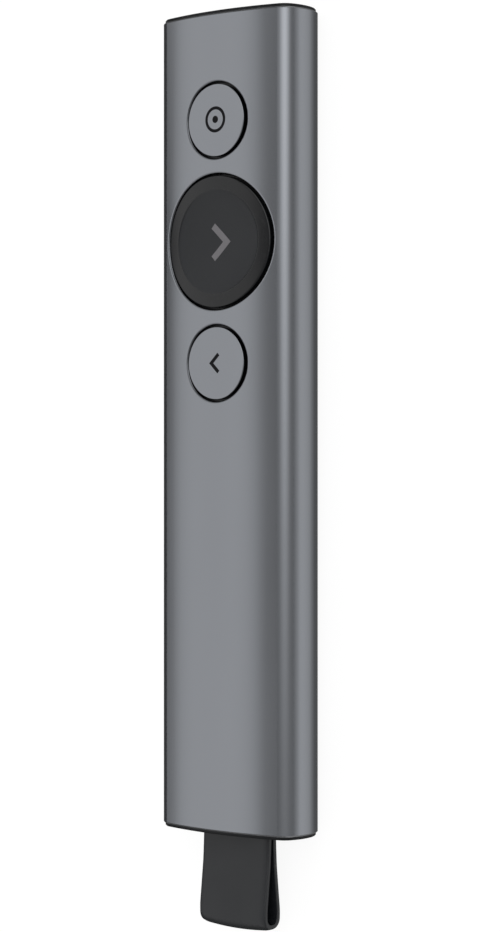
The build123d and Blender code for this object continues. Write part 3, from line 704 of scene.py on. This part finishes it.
class Skin:
    """Points and faces of one mesh while it is put together."""

    def __init__(self) -> None:
        """Starts with nothing."""
        self.points: list[Point] = []
        self.faces: list[tuple[int, ...]] = []

    def row(self, points: Sequence[Point]) -> list[int]:
        """Adds points, and gives their numbers."""
        self.points.extend(points)
        return list(range(len(self.points) - len(points), len(self.points)))

    def bridge(self, first: Sequence[int], second: Sequence[int], closed: bool = True) -> None:
        """Joins two rows of as many points with a strip of faces.

        Args:
            first: numbers of one row.
            second: numbers of the other.
            closed: whether each row runs round to its own start.
        """
        count = len(first)
        for at in range(count if closed else count - 1):
            after = (at + 1) % count
            self.faces.append((first[at], first[after], second[after], second[at]))

    def fan(self, ring: Sequence[int], middle: Point) -> None:
        """Closes a ring with triangles that meet at a point in its middle."""
        (hub,) = self.row([middle])
        self.faces += [(at, after, hub) for at, after in zip(ring, [*ring[1:], ring[0]])]

    def turned(
        self,
        y: float,
        profile: Sequence[tuple[float, Height]],
        loop: bool = False,
        steps: int = 192,
    ) -> None:
        """Adds rings round an upright axis, each following a surface, and joins them.

        Args:
            y: station of the axis.
            profile: radius of each ring, and the surface's height across and ahead of y.
            loop: whether the last ring joins the first, with nothing at the axis.
            steps: points in each ring.
        """
        rings = []
        for radius, height in profile:
            turns = [2 * pi * step / steps for step in range(steps)]
            flat = [(radius * cos(turn), radius * sin(turn)) for turn in turns]
            rings.append(self.row([(x, y + ahead, height(x, ahead)) for x, ahead in flat]))
        for inner, outer in zip(rings, rings[1:]):
            self.bridge(inner, outer)
        if loop:
            self.bridge(rings[-1], rings[0])
        else:
            self.fan(rings[0], (0.0, y, profile[0][1](0.0, 0.0)))
            self.fan(rings[-1], (0.0, y, profile[-1][1](0.0, 0.0)))

    def build(self, name: str, finish: Finish, sharp: float = 40.0) -> Object:
        """Makes the object, smooth except along edges that turn sharply.

        Args:
            name: the object's name.
            finish: what dresses it.
            sharp: the least turn of an edge that stays crisp, in degrees.

        Returns:
            The object, linked to the scene.
        """
        shape = bmesh.new()
        corners = [shape.verts.new(point) for point in self.points]
        for face in self.faces:
            shape.faces.new([corners[at] for at in face]).smooth = True
        bmesh.ops.recalc_face_normals(shape, faces=shape.faces)
        for edge in shape.edges:
            edge.smooth = edge.calc_face_angle(0.0) < radians(sharp)
        return meshed(name, shape, coat(finish))


def dress(finish: Finish, *nodes: str) -> None:
    """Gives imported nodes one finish.

    Args:
        finish: what makes the material.
        nodes: names of the nodes.
    """
    material = coat(finish)
    for node in nodes:
        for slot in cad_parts[node].material_slots:
            slot.material = material
        LOG.info("%s wears %s", node, material.name)


def fit(piece: Object, body: Body, node: str = "") -> None:
    """Puts a new piece on its body.

    Args:
        piece: the piece, in place.
        body: the body that it rides on.
        node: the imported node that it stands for, if any.
    """
    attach(piece, body.value)
    if node:
        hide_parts(node)
    LOG.info("%s rides on %s with %d faces", piece.name, body.value, len(piece.data.polygons))


# ---- Measures shared by the sub-assemblies ----
@dataclass(frozen=True)
class Form:
    """Section of the body and the round openings in its face."""

    half_width: float = 14.05 * MM
    half_depth: float = 6.05 * MM
    face_crown: float = 2.05 * MM
    next_hole: float = 10.8 * MM
    small_hole: float = 6.1 * MM
    button_gap: float = 0.34 * MM

    @property
    def face_radius(self) -> float:
        """Radius of the crowned front face."""
        return (self.half_width**2 + self.face_crown**2) / (2 * self.face_crown)

    @property
    def middle(self) -> Vector:
        """Middle of the body."""
        low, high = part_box("bottom_end_cap")[0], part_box("top_end_cap")[1]
        return Vector((0, (low.y + high.y) / 2, self.half_depth))

    @staticmethod
    def station(node: str) -> float:
        """Station of the axis of a round node."""
        low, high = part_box(node)
        return (low.y + high.y) / 2

    def crown(self, x: float, proud: float = 0.0) -> float:
        """Height over the floor at x of the crowned front face, or of one that is proud of it."""
        radius = self.face_radius + proud
        return 2 * self.half_depth - self.face_radius + sqrt(radius**2 - x**2)


# ---- Signs ----
@dataclass
class Sign:
    """Inlaid mark that lies in a button's top and follows its surface."""

    name: str
    body: Body
    y: float
    surface: Height
    ink: Finish
    proud: float = 0.012 * MM
    sunk: float = 0.02 * MM

    def _over(self, x: float, ahead: float) -> float:
        """Height of the mark's upper side."""
        return self.surface(x, ahead) + self.proud

    def _under(self, x: float, ahead: float) -> float:
        """Height of the mark's lower side."""
        return self.surface(x, ahead) - self.sunk


@dataclass
class RingSign(Sign):
    """Ring with a dot in its middle."""

    ring_radius: float = 2.08 * MM
    stroke: float = 0.5 * MM
    dot_radius: float = 0.58 * MM
    steps: int = 64

    def build(self) -> None:
        """Builds the ring and the dot, and puts them on their button."""
        inner = self.ring_radius - self.stroke
        middle = self.ring_radius - self.stroke / 2
        self._turn("ring", (inner, middle, self.ring_radius), loop=True)
        self._turn("dot", (self.dot_radius / 2, self.dot_radius), loop=False)

    def _turn(self, part: str, radii: Sequence[float], loop: bool) -> None:
        """Builds one round part of the mark.

        Args:
            part: what it is called.
            radii: radii of its rings of points.
            loop: whether it has a hole in its middle.
        """
        profile = [(radius, self._over) for radius in radii]
        profile += [(radius, self._under) for radius in reversed(radii)]
        skin = Skin()
        skin.turned(self.y, profile, loop, self.steps)
        fit(skin.build(f"{self.name}_{part}", self.ink), self.body)


@dataclass
class Chevron(Sign):
    """Arrow head of two arms with square ends and a mitred tip."""

    x: float = 0.0
    height: float = 6.0 * MM
    stroke: float = 1.1 * MM
    arm_angle: float = 43.7
    pointing: Pointing = Pointing.RIGHT
    arm_steps: int = 14
    stroke_steps: int = 3

    def _corners(self) -> list[tuple[Vector, Vector]]:
        """Outer and inner edge of the arms at one end, at the tip and at the other end.

        Returns:
            Pairs of flat places about the mark's own middle, the outer edge first.
        """
        turn = radians(self.arm_angle)
        half = self.stroke / 2
        rise = self.height / 2 - half * cos(turn)
        end = Vector((-rise / tan(turn), rise))
        off = Vector((half * sin(turn), half * cos(turn)))
        mitre = Vector((half / sin(turn), 0))
        upper = (end + off, end - off)
        lower = tuple(Vector((place.x, -place.y)) for place in upper)
        centre = Vector(((upper[1].x + mitre.x) / 2, 0))
        pairs = (upper, (mitre, -mitre), lower)
        return [(outer - centre, inner - centre) for outer, inner in pairs]

    def build(self) -> None:
        """Builds the mark as a thin slab and puts it on its button."""
        corners = self._corners()
        pairs = [
            tuple(first.lerp(second, step / self.arm_steps) for first, second in zip(start, stop))
            for start, stop in zip(corners, corners[1:])
            for step in range(self.arm_steps)
        ]
        skin = Skin()
        rows = [self._section(skin, *pair) for pair in [*pairs, corners[-1]]]
        for first, second in zip(rows, rows[1:]):
            skin.bridge(first, second)
        for row in (rows[0], rows[-1]):
            half = len(row) // 2
            skin.bridge(row[:half], row[:half - 1:-1], closed=False)
        fit(skin.build(self.name, self.ink), self.body)

    def _section(self, skin: Skin, outer: Vector, inner: Vector) -> list[int]:
        """Adds the points round one section across the stroke.

        Args:
            skin: the mesh that they go into.
            outer: flat place of the section on the outer edge.
            inner: flat place on the inner edge.

        Returns:
            Their numbers, over the top and back underneath.
        """
        shares = [step / self.stroke_steps for step in range(self.stroke_steps + 1)]
        flat = [outer.lerp(inner, share) for share in shares]
        flat = [(self.x + self.pointing.value * place.x, place.y) for place in flat]
        over = [(x, self.y + ahead, self._over(x, ahead)) for x, ahead in flat]
        under = [(x, self.y + ahead, self._under(x, ahead)) for x, ahead in reversed(flat)]
        return skin.row(over + under)


# ---- Housing ----
@dataclass
class Housing:
    """Extruded sleeve, its two end caps and the light guide in the upper one."""

    form: Form

    def dress(self) -> None:
        """Gives the sleeve, the caps and the guide their finishes."""
        low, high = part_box("housing_sleeve")
        form = self.form
        nodes = ("pointer_top", "next_top", "back_top")
        radii = (form.small_hole, form.next_hole, form.small_hole)
        holes = tuple((form.station(node), radius) for node, radius in zip(nodes, radii))
        dress(SatinAluminium("anodised_sleeve", (low.y, high.y), holes), "housing_sleeve")
        caps = MouldedPlastic("cap_plastic_black", (0.0055, 0.0058, 0.0066), 0.45, 0.2)
        dress(caps, "top_end_cap", "bottom_end_cap")
        dress(ClearMoulding("light_guide_clear"), "light_guide")


# ---- Buttons ----
@dataclass
class RoundTop(ABC):
    """Round button top whose edge is rounded."""

    form: Form
    edge: float = 0.12 * MM

    @property
    @abstractmethod
    def radius(self) -> float:
        """Outer radius."""

    def rounded(self, top: float, away: float) -> float:
        """Height of the top at a distance from its axis, with the edge taken off."""
        past = max(away - (self.radius - self.edge), 0.0)
        return top - self.edge + sqrt(max(self.edge**2 - past**2, 0.0))

    def rings(self, stretches: Sequence[tuple[float, int]], bend: int) -> list[float]:
        """Radii of the rings of points from the axis to the outer radius.

        Args:
            stretches: end of each stretch inside the edge, and the number of its rings.
            bend: number of rings round the edge.

        Returns:
            The radii.
        """
        made, start = [], 0.0
        for stop, steps in stretches:
            made += [start + (stop - start) * step / steps for step in range(1, steps + 1)]
            start = stop
        turns = [pi / 2 * step / bend for step in range(1, bend + 1)]
        return made + [self.radius - self.edge + self.edge * sin(turn) for turn in turns]


@dataclass
class SmallButtons(RoundTop):
    """Pointer and back buttons: slightly domed aluminium discs, each with a mark."""

    proud: float = 0.03 * MM
    dome: float = 0.13 * MM
    socket_radius: float = 1.5 * MM
    socket_depth: float = 0.8 * MM
    dome_rings: int = 14
    edge_rings: int = 6
    mark_colour: Colour = (0.004, 0.004, 0.005)
    mark_specular: float = 0.1
    pointer_mark_ahead: float = 0.09 * MM
    back_mark_x: float = -0.2 * MM
    back_mark_height: float = 3.3 * MM
    back_mark_stroke: float = 0.6 * MM
    back_mark_angle: float = 44.0

    @property
    def radius(self) -> float:
        """Outer radius."""
        return self.form.small_hole - self.form.button_gap

    def surface(self, x: float, ahead: float) -> float:
        """Height of a disc's top: a dome whose rim is rounded."""
        rise = self.proud - self.dome * (hypot(x, ahead) / self.radius) ** 2
        return self.rounded(self.form.crown(0) + rise, hypot(x, ahead))

    def build(self) -> None:
        """Builds the discs and adds their marks."""
        self._disc("pointer_disc", Body.POINTER, "pointer_top")
        self._disc("back_disc", Body.BACK, "back_top")
        ink = PadPrint("dark_ink", self.mark_colour, self.mark_specular)
        y = self.form.station("pointer_top") + self.pointer_mark_ahead
        RingSign("pointer_mark", Body.POINTER, y, self.surface, ink).build()
        Chevron(
            "back_mark", Body.BACK, self.form.station("back_top"), self.surface, ink,
            x=self.back_mark_x, height=self.back_mark_height, stroke=self.back_mark_stroke,
            arm_angle=self.back_mark_angle, pointing=Pointing.LEFT,
        ).build()

    def _disc(self, name: str, body: Body, node: str) -> None:
        """Builds one disc, with the socket that its carrier's peg fills.

        Args:
            name: the disc's name.
            body: the body that it rides on.
            node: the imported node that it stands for.
        """
        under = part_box(node)[0].z
        radii = self.rings([(self.radius - self.edge, self.dome_rings)], self.edge_rings)
        profile = [(radius, self.surface) for radius in radii]
        profile += [
            (self.radius, lambda x, ahead: under),
            (self.socket_radius, lambda x, ahead: under),
            (self.socket_radius, lambda x, ahead: under + self.socket_depth),
        ]
        skin = Skin()
        skin.turned(self.form.station(node), profile)
        disc = skin.build(name, SatinAluminium("anodised_buttons"))
        fit(disc, body, node)


@dataclass
class ThumbButton(RoundTop):
    """Large rubber button: a thumb dish inside a crowned ring with a rounded edge."""

    edge: float = 0.18 * MM
    proud: float = 0.12 * MM
    dish_radius: float = 8.3 * MM
    dish_depth: float = 1.25 * MM
    lip: float = 0.08 * MM
    lip_width: float = 0.3 * MM
    underside: float = 9.95 * MM
    core_radius: float = 9.4 * MM
    core_top: float = 10.35 * MM
    foot: float = 0.06 * MM
    stretch_rings: tuple[int, int, int] = (26, 8, 8)
    edge_rings: int = 12
    mark_x: float = 0.2 * MM
    rubber_colour: Colour = (0.0088, 0.0098, 0.0118)
    rubber_specular: float = 0.38
    mark_colour: Colour = (0.131, 0.126, 0.134)

    @property
    def radius(self) -> float:
        """Outer radius."""
        return self.form.next_hole - self.form.button_gap

    def dish(self, x: float, ahead: float) -> float:
        """Height of the thumb dish, which bows along the body as well as across it.

        Args:
            x: place across the dish.
            ahead: place along the body from its axis.

        Returns:
            The height.
        """
        crown, radius = self.form.crown, self.dish_radius
        low = crown(0) - self.dish_depth
        rise = self.proud - self.lip
        across = radius**2 / (2 * (crown(radius) + rise - low))
        along = radius**2 / (2 * (crown(0) + rise - low))
        turn = across - along + sqrt(along**2 - ahead**2)
        return low + across - sqrt(turn**2 - x**2)

    def surface(self, x: float, ahead: float) -> float:
        """Height of the rubber's upper side: dish, rolled lip, ring and rounded edge.

        Args:
            x: place across the button.
            ahead: place along the body from its axis.

        Returns:
            The height.
        """
        away = hypot(x, ahead)
        ring = self.rounded(self.form.crown(x, self.proud), away)
        half = self.lip_width / 2
        share = min(max((away - self.dish_radius + half) / self.lip_width, 0.0), 1.0)
        share = share * share * (3 - 2 * share)
        if share == 1:
            return ring
        return self.dish(x, ahead) * (1 - share) + ring * share

    def build(self) -> None:
        """Builds the rubber as one closed skin over its core, and its mark."""
        y = self.form.station("next_top")
        inner = self.dish_radius - self.lip_width / 2
        stops = (inner, inner + self.lip_width, self.radius - self.edge)
        radii = self.rings(list(zip(stops, self.stretch_rings)), self.edge_rings)
        profile = [(radius, self.surface) for radius in radii]
        profile += [
            (self.radius, lambda x, ahead: self.underside + self.foot),
            (self.radius - self.foot, lambda x, ahead: self.underside),
            (self.core_radius, lambda x, ahead: self.underside),
            (self.core_radius, lambda x, ahead: self.core_top),
        ]
        skin = Skin()
        skin.turned(y, profile)
        specular, dish = self.rubber_specular, (y, self.dish_radius)
        rubber = SilkRubber("thumb_rubber", self.rubber_colour, specular=specular, dish=dish)
        pad = skin.build("thumb_pad", rubber, sharp=55.0)
        fit(pad, Body.NEXT, "next_top")
        ink = PadPrint("pale_ink", self.mark_colour)
        Chevron("next_mark", Body.NEXT, y, self.surface, ink, x=self.mark_x).build()


# ---- Receiver and strap ----
@dataclass
class Strap:
    """Moulded rubber strap: one closed band round a pin in the receiver and out to a loop."""

    form: Form
    width: float = 13.7 * MM
    thickness: float = 0.9 * MM
    edge: float = 0.2 * MM
    inner_edge: float = 0.15 * MM
    flat_steps: int = 12
    shade: float = 1.1 * MM
    shade_turn: float = 15.0
    seam: float = 0.03 * MM
    pin: float = 3.0 * MM
    eye: float = 1.75 * MM
    shoulder: float = 2.6 * MM
    slot: float = 0.9 * MM
    neck: float = 1.04 * MM
    parting: float = 1.3 * MM
    parting_from_end: float = 10.7 * MM
    belly: float = 2.12 * MM
    belly_from_end: float = 3.1 * MM
    reach: float = 15.7 * MM
    end_radius: float = 2.0 * MM
    bow: float = 0.42 * MM
    arc_step: float = 7.5
    eye_flat: float = 0.01 * MM
    shoulder_bend: float = 1.5 * MM
    slot_bend: float = 3.0 * MM
    parting_bend: float = 30 * MM
    belly_bend: float = 10 * MM
    end_bend_share: float = 0.95
    bend_steps: int = 4
    rubber_colour: Colour = (0.0056, 0.0066, 0.0086)
    rubber_grain: float = 0.24 * MM

    def bends(self) -> list[tuple[Vector, float]]:
        """Corners of the outline on one side, and the radius that rounds each.

        Returns:
            Corners as distance out of the body and height over its middle plane.
        """
        side = [
            (-self.pin - self.eye, self.eye, self.eye - self.eye_flat),
            (-self.shoulder, self.eye, self.shoulder_bend),
            (-self.slot, self.neck, self.slot_bend),
            (self.reach - self.parting_from_end, self.parting, self.parting_bend),
            (self.reach - self.belly_from_end, self.belly, self.belly_bend),
            (self.reach, self.end_radius, self.end_bend_share * self.end_radius),
        ]
        return [(Vector((out, up)), radius) for out, up, radius in side]

    def outline(self) -> list[tuple[Vector, Vector]]:
        """Closed outer outline of the band.

        Returns:
            Places and outward directions, both flat.
        """
        side = self.bends()
        corners = side + [(Vector((at.x, -at.y)), radius) for at, radius in reversed(side)]
        made = []
        for number, (corner, radius) in enumerate(corners):
            before = corners[number - 1][0] - corner
            after = corners[(number + 1) % len(corners)][0] - corner
            made += self._arc(corner, before.normalized(), after.normalized(), radius)
        return made

    def _arc(
        self, corner: Vector, before: Vector, after: Vector, radius: float
    ) -> list[tuple[Vector, Vector]]:
        """Arc that rounds one corner of an outline that runs clockwise.

        Args:
            corner: the corner.
            before: direction from it to the corner before.
            after: direction from it to the corner after.
            radius: radius of the arc.

        Returns:
            Places along the arc with their outward directions.
        """
        half = before.angle(after) / 2
        centre = corner + (before + after).normalized() * (radius / sin(half))
        start = corner + before * (radius / tan(half)) - centre
        stop = corner + after * (radius / tan(half)) - centre
        hollow = before.x * after.y - before.y * after.x < 0
        sweep = start.angle(stop) * (1 if hollow else -1)
        steps = max(2, round(abs(sweep) / radians(self.arc_step)))
        made = []
        for step in range(steps + 1):
            arm = Matrix.Rotation(sweep * step / steps, 2) @ start
            made.append((centre + arm, arm.normalized() * (-1 if hollow else 1)))
        return made

    def section(self) -> list[Flat]:
        """Places round the band's section, across the strap and into its thickness.

        Returns:
            The outer face curves away towards each side before it turns into the edge.
        """
        bend = self.bend_steps
        turn = radians(self.shade_turn)
        slow = self.shade / sin(turn)
        start = self.width / 2 - self.shade - self.edge * (1 - sin(turn))
        outer = [
            (start + slow * sin(turn * step / bend), slow - slow * cos(turn * step / bend))
            for step in range(bend + 1)
        ]
        x, depth = outer[-1]
        for step in range(1, bend + 1):
            angle = turn + (pi / 2 - turn) * step / bend
            across, down = sin(angle) - sin(turn), cos(turn) - cos(angle)
            outer.append((x + self.edge * across, depth + self.edge * down))
        half, edge, deep = self.width / 2, self.inner_edge, self.thickness
        turns = [pi / 2 * step / bend for step in range(bend + 1)]
        inner = [(half - edge + edge * cos(turn), deep - edge + edge * sin(turn)) for turn in turns]
        side = [*outer, (half + self.seam, (outer[-1][1] + inner[0][1]) / 2), *inner]
        back = [(-x, depth) for x, depth in reversed(side)]
        return self._crossing(back[-1], side[0]) + side + self._crossing(side[-1], back[0]) + back

    def _crossing(self, start: Flat, stop: Flat) -> list[Flat]:
        """Places between two places of the section, apart from the two themselves."""
        shares = [step / self.flat_steps for step in range(1, self.flat_steps)]
        return [tuple(Vector(start).lerp(Vector(stop), share)) for share in shares]

    def build(self) -> None:
        """Sweeps the section round the outline, and bows the end of the loop."""
        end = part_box("bottom_end_cap")[0].y
        middle = self.form.half_depth
        section = self.section()
        skin = Skin()
        rows = []
        for at, facing in self.outline():
            points = []
            for x, deep in section:
                out = at.x - facing.x * deep
                reach = max(out / self.reach, 0.0)
                out -= self.bow * (2 * x / self.width) ** 2 * reach**2
                points.append((x, end - out, middle + at.y - facing.y * deep))
            rows.append(skin.row(points))
        for first, second in zip(rows, rows[1:] + rows[:1]):
            skin.bridge(first, second)
        rubber = SilkRubber("strap_rubber_silk", self.rubber_colour, grain=self.rubber_grain)
        fit(skin.build("strap_band", rubber, sharp=50.0), Body.RECEIVER, "strap")


@dataclass
class Receiver:
    """Plug-in radio receiver with its strap."""

    form: Form

    def build(self) -> None:
        """Dresses the receiver's pieces and builds its strap."""
        shells = MouldedPlastic("receiver_shell", (0.018, 0.018, 0.0195), 0.42)
        dress(shells, "receiver_upper", "receiver_lower")
        dress(PlatedMetal("plug_plating", (0.62, 0.62, 0.63), 0.2), "plug_shell")
        dress(MouldedPlastic("plug_tongue_black", (0.02, 0.02, 0.022), 0.35), "plug_tongue")
        dress(PlatedMetal("contact_gold", (0.83, 0.6, 0.26), 0.2), "plug_contacts")
        dress(SolderMask("receiver_board_green"), "receiver_board")
        epoxy = Speckled("receiver_chip_epoxy", (0.02, 0.02, 0.022), (0.06, 0.06, 0.06))
        dress(epoxy, "receiver_chip")
        dress(PlatedMetal("anchor_steel", (0.66, 0.66, 0.67), 0.26), "strap_anchor")
        Strap(self.form).build()


# ---- Inside the housing ----
@dataclass
class Dock:
    """Bay that the receiver slides into, with the charging port at its end."""

    moulding: Colour = (0.03, 0.03, 0.033)
    plating: Colour = (0.6, 0.6, 0.62)

    def dress(self) -> None:
        """Gives the bay, its springs and the port their finishes."""
        dress(MouldedPlastic("dock_plastic", self.moulding), "receiver_dock")
        dress(PlatedMetal("dock_spring_steel", self.plating), "dock_springs")
        dress(PlatedMetal("port_plating", self.plating, 0.2), "port_shell")
        dress(MouldedPlastic("port_tongue_black", self.moulding, 0.35), "port_tongue")


@dataclass
class Electronics:
    """Board, battery, motor, switches and the mouldings that hold them."""

    keys: tuple[str, ...] = ("pointer", "next", "back")
    silver: Colour = (0.66, 0.67, 0.68)
    dull_silver: Colour = (0.52, 0.53, 0.55)
    grey: Colour = (0.05, 0.05, 0.052)
    light_grey: Colour = (0.12, 0.12, 0.12)

    def dress(self) -> None:
        """Gives each inner piece its finish."""
        foil = Speckled("pouch_foil", self.silver, self.dull_silver, 0.5 * MM, 0.3, 1.0, 0.02 * MM)
        foam = Speckled("foam_grey", self.grey, self.light_grey, 0.25 * MM, 0.85, 0.0, 0.05 * MM)
        chips = Speckled("chip_epoxy_black", (0.02, 0.02, 0.022), (0.06, 0.06, 0.06))
        antenna = Speckled("antenna_white", (0.72, 0.69, 0.6), (0.6, 0.56, 0.48), roughness=0.3)
        red = Speckled("lead_red_skin", (0.5, 0.02, 0.02), (0.36, 0.015, 0.015), roughness=0.35)
        black = Speckled("lead_black_skin", (0.018, 0.018, 0.02), self.grey, roughness=0.35)
        lamp = Speckled("lamp_white", (0.85, 0.84, 0.78), (0.75, 0.73, 0.62), roughness=0.25)
        cans = PlatedMetal("can_plating", (0.66, 0.66, 0.68), 0.22)
        screws = PlatedMetal("screw_black_zinc", (0.2, 0.2, 0.21), 0.32, line_stretch=(1, 1, 1))
        for finish, *nodes in (
            (MouldedPlastic("inner_plastic_black", (0.04, 0.04, 0.044)), "chassis", "button_guide"),
            (MouldedPlastic("carrier_plastic", (0.035, 0.036, 0.04), 0.45), *self._each("carrier")),
            (SolderMask("main_board_green"), "main_board"),
            (chips, "radio_chip", "motion_sensor", "charger_chip"),
            (antenna, "chip_antenna"),
            (Terminated("passive_parts"), "board_passives"),
            (foil, "battery_cell"),
            (foam, "battery_foam", "motor_foam"),
            (red, "battery_lead_red"),
            (black, "battery_lead_black"),
            (cans, "crystal", "motor_case", "motor_shaft"),
            (PlatedMetal("weight_alloy_dull", (0.48, 0.45, 0.4), 0.4), "motor_rotor"),
            (MouldedPlastic("switch_case_black", (0.045, 0.045, 0.05)), *self._each("switch_case")),
            (MouldedPlastic("switch_stem_white", (0.58, 0.58, 0.55), 0.4), *self._each("switch_stem")),
            (PlatedMetal("dome_steel", (0.64, 0.64, 0.65), 0.2), *self._each("switch_dome")),
            (lamp, "status_lamp"),
            (screws, "board_screws", "guide_screws"),
        ):
            dress(finish, *nodes)

    def _each(self, ending: str) -> list[str]:
        """Names of the nodes that every button has, by what follows its key."""
        return [f"{key}_{ending}" for key in self.keys]


# ---- Studio ----
@dataclass
class Studio:
    """Camera, floor, soft lamp, and the surroundings that gloss mirrors."""

    form: Form
    frame_width: int = 501
    frame_height: int = 932
    focal: float = 2532.2
    optical_column: float = 251.0
    optical_row: float = 450.4
    swing: float = 39.78
    aside: float = -1.81 * MM
    rise: float = 4.49 * MM
    distance: float = 407.65 * MM
    sensor: float = 36.0
    floor_radius: float = 2.5
    floor_colour: Colour = (0.8, 0.8, 0.8)
    floor_tone: Flat = (0.97, 0.06)
    floor_cloud: float = 50 * MM
    floor_glow: float = 1.07
    floor_glow_share: float = 0.85
    room_level: float = 0.72
    lamp_power: float = 3.4
    lamp_size: float = 0.8
    lamp_place: Point = (0.55, 0.25, 0.75)
    # Level that gloss shows at each angle round the body, in degrees from straight up towards
    # +X: a soft wall on each side, and the dark above, beside and below them.
    cards: tuple[Flat, ...] = (
        (-180, 0.22), (-140, 0.10), (-74, 0.10), (-67.4, 0.08), (-62.6, 1.05), (-55, 1.09),
        (-40, 1.05), (-28, 1.12), (-21, 1.03), (-17.3, 0.31), (-4, 0.37), (90, 0.44),
        (98, 0.40), (105, 0.12), (110, 1.04), (116, 1.12), (126, 1.09), (146, 0.88),
        (160, 0.38), (172, 0.18), (180, 0.22),
    )
    card_peak: float = 1.2
    strip_level: float = 1.78
    strip_spread: Point = (-15.0, 39.0, 88.0)
    strip_fade: Flat = (-0.20, 0.27)

    def build(self) -> None:
        """Builds the whole studio."""
        self._camera()
        self._floor()
        self._lamp()
        self._surroundings()
        bpy.context.scene.view_settings.view_transform = "Standard"

    def _camera(self) -> None:
        """Camera that looks at the face from the right-hand side."""
        turn = radians(self.swing)
        right = Vector((cos(turn), 0, -sin(turn)))
        up = Vector((0, 1, 0))
        back = Vector((sin(turn), 0, cos(turn)))
        data = bpy.data.cameras.new("camera")
        data.lens = self.focal * self.sensor / self.frame_height
        data.sensor_width = self.sensor
        data.shift_x = (self.frame_width / 2 - self.optical_column) / self.frame_height
        data.shift_y = (self.optical_row - self.frame_height / 2) / self.frame_height
        camera = shown("camera", data)
        place = self.form.middle - self.aside * right - self.rise * up + self.distance * back
        axes = Matrix((right, up, back)).transposed().to_4x4()
        camera.matrix_world = Matrix.Translation(place) @ axes
        bpy.context.scene.camera = camera

    def _floor(self) -> None:
        """Pale floor that keeps a faint shadow."""
        shape = bmesh.new()
        bmesh.ops.create_circle(shape, cap_ends=True, segments=96, radius=self.floor_radius)
        floor = meshed("floor", shape, self._floor_paint())
        floor.visible_glossy = False

    def _floor_paint(self) -> Material:
        """Matt paint that the camera sees as white with faint shadows.

        Returns:
            The floor's material.
        """
        shader = Shader.named("floor_paint")
        tone = weighed(self.floor_tone, shader.noise(self.floor_cloud))
        paint = shader.toned(self.floor_colour, tone)
        matt = shader.node("ShaderNodeBsdfDiffuse", links={"Color": paint}).outputs[0]
        glow = shader.node("ShaderNodeEmission", links={"Strength": self.floor_glow}).outputs[0]
        links = {0: self.floor_glow_share * shader.sight(), 1: matt, 2: glow}
        mix = shader.node("ShaderNodeMixShader", links=links).outputs[0]
        shader.node("ShaderNodeOutputMaterial", links={"Surface": mix})
        return shader.owner

    def _lamp(self) -> None:
        """Large soft lamp over the right-hand side, which gloss doesn't show."""
        data = bpy.data.lights.new("soft_lamp", "AREA")
        data.shape = "DISK"
        data.size = self.lamp_size
        data.energy = self.lamp_power
        lamp = shown("soft_lamp", data)
        lamp.location = self.lamp_place
        aim = self.form.middle - lamp.location
        lamp.rotation_mode = "QUATERNION"
        lamp.rotation_quaternion = aim.to_track_quat("-Z", "Y")
        lamp.visible_glossy = False

    def _surroundings(self) -> None:
        """White room that lights evenly, with soft boxes and cards that gloss shows."""
        world = bpy.data.worlds.new("studio")
        bpy.context.scene.world = world
        shader = Shader(world)
        plain, gloss = shader.sight(), shader.ray("Glossy")
        even = (1 - plain.most(gloss)) * self.room_level
        level = plain + (1 - plain) * gloss * self._mirrored(shader) + even
        links = {"Color": opaque((1.0, 1.0, 1.0)), "Strength": level}
        sky = shader.node("ShaderNodeBackground", links=links).outputs[0]
        shader.node("ShaderNodeOutputWorld", links={"Surface": sky})

    def _mirrored(self, shader: Shader) -> Value:
        """Level of the soft boxes and cards in each direction.

        Args:
            shader: the world's tree.

        Returns:
            The level, where 1 is white.
        """
        way = shader.split(shader.coordinates("Generated"))
        around = way.x.angle_over(way.z) * (180 / pi)
        stops = [(angle / 360 + 0.5, level / self.card_peak) for angle, level in self.cards]
        ramp = shader.node("ShaderNodeValToRGB", {"stops": stops}, {0: around / 360 + 0.5})
        grey = shader.node("ShaderNodeRGBToBW", links={0: ramp.outputs[0]}).outputs[0]
        low, middle, high = self.strip_spread
        strip = around.rise(low, middle) * around.rise(high, middle)
        strip = strip * way.y.rise(*self.strip_fade) * self.strip_level
        return Value(shader, grey) * self.card_peak + strip


def main() -> None:
    """Builds the studio, dresses the clicker and adds its soft pieces and marks."""
    logging.basicConfig(level=logging.INFO, format="%(name)s: %(message)s")
    form = Form()
    Studio(form).build()
    Housing(form).dress()
    SmallButtons(form).build()
    ThumbButton(form).build()
    Receiver(form).build()
    Dock().dress()
    Electronics().dress()


if __name__ == "__main__":
    main()
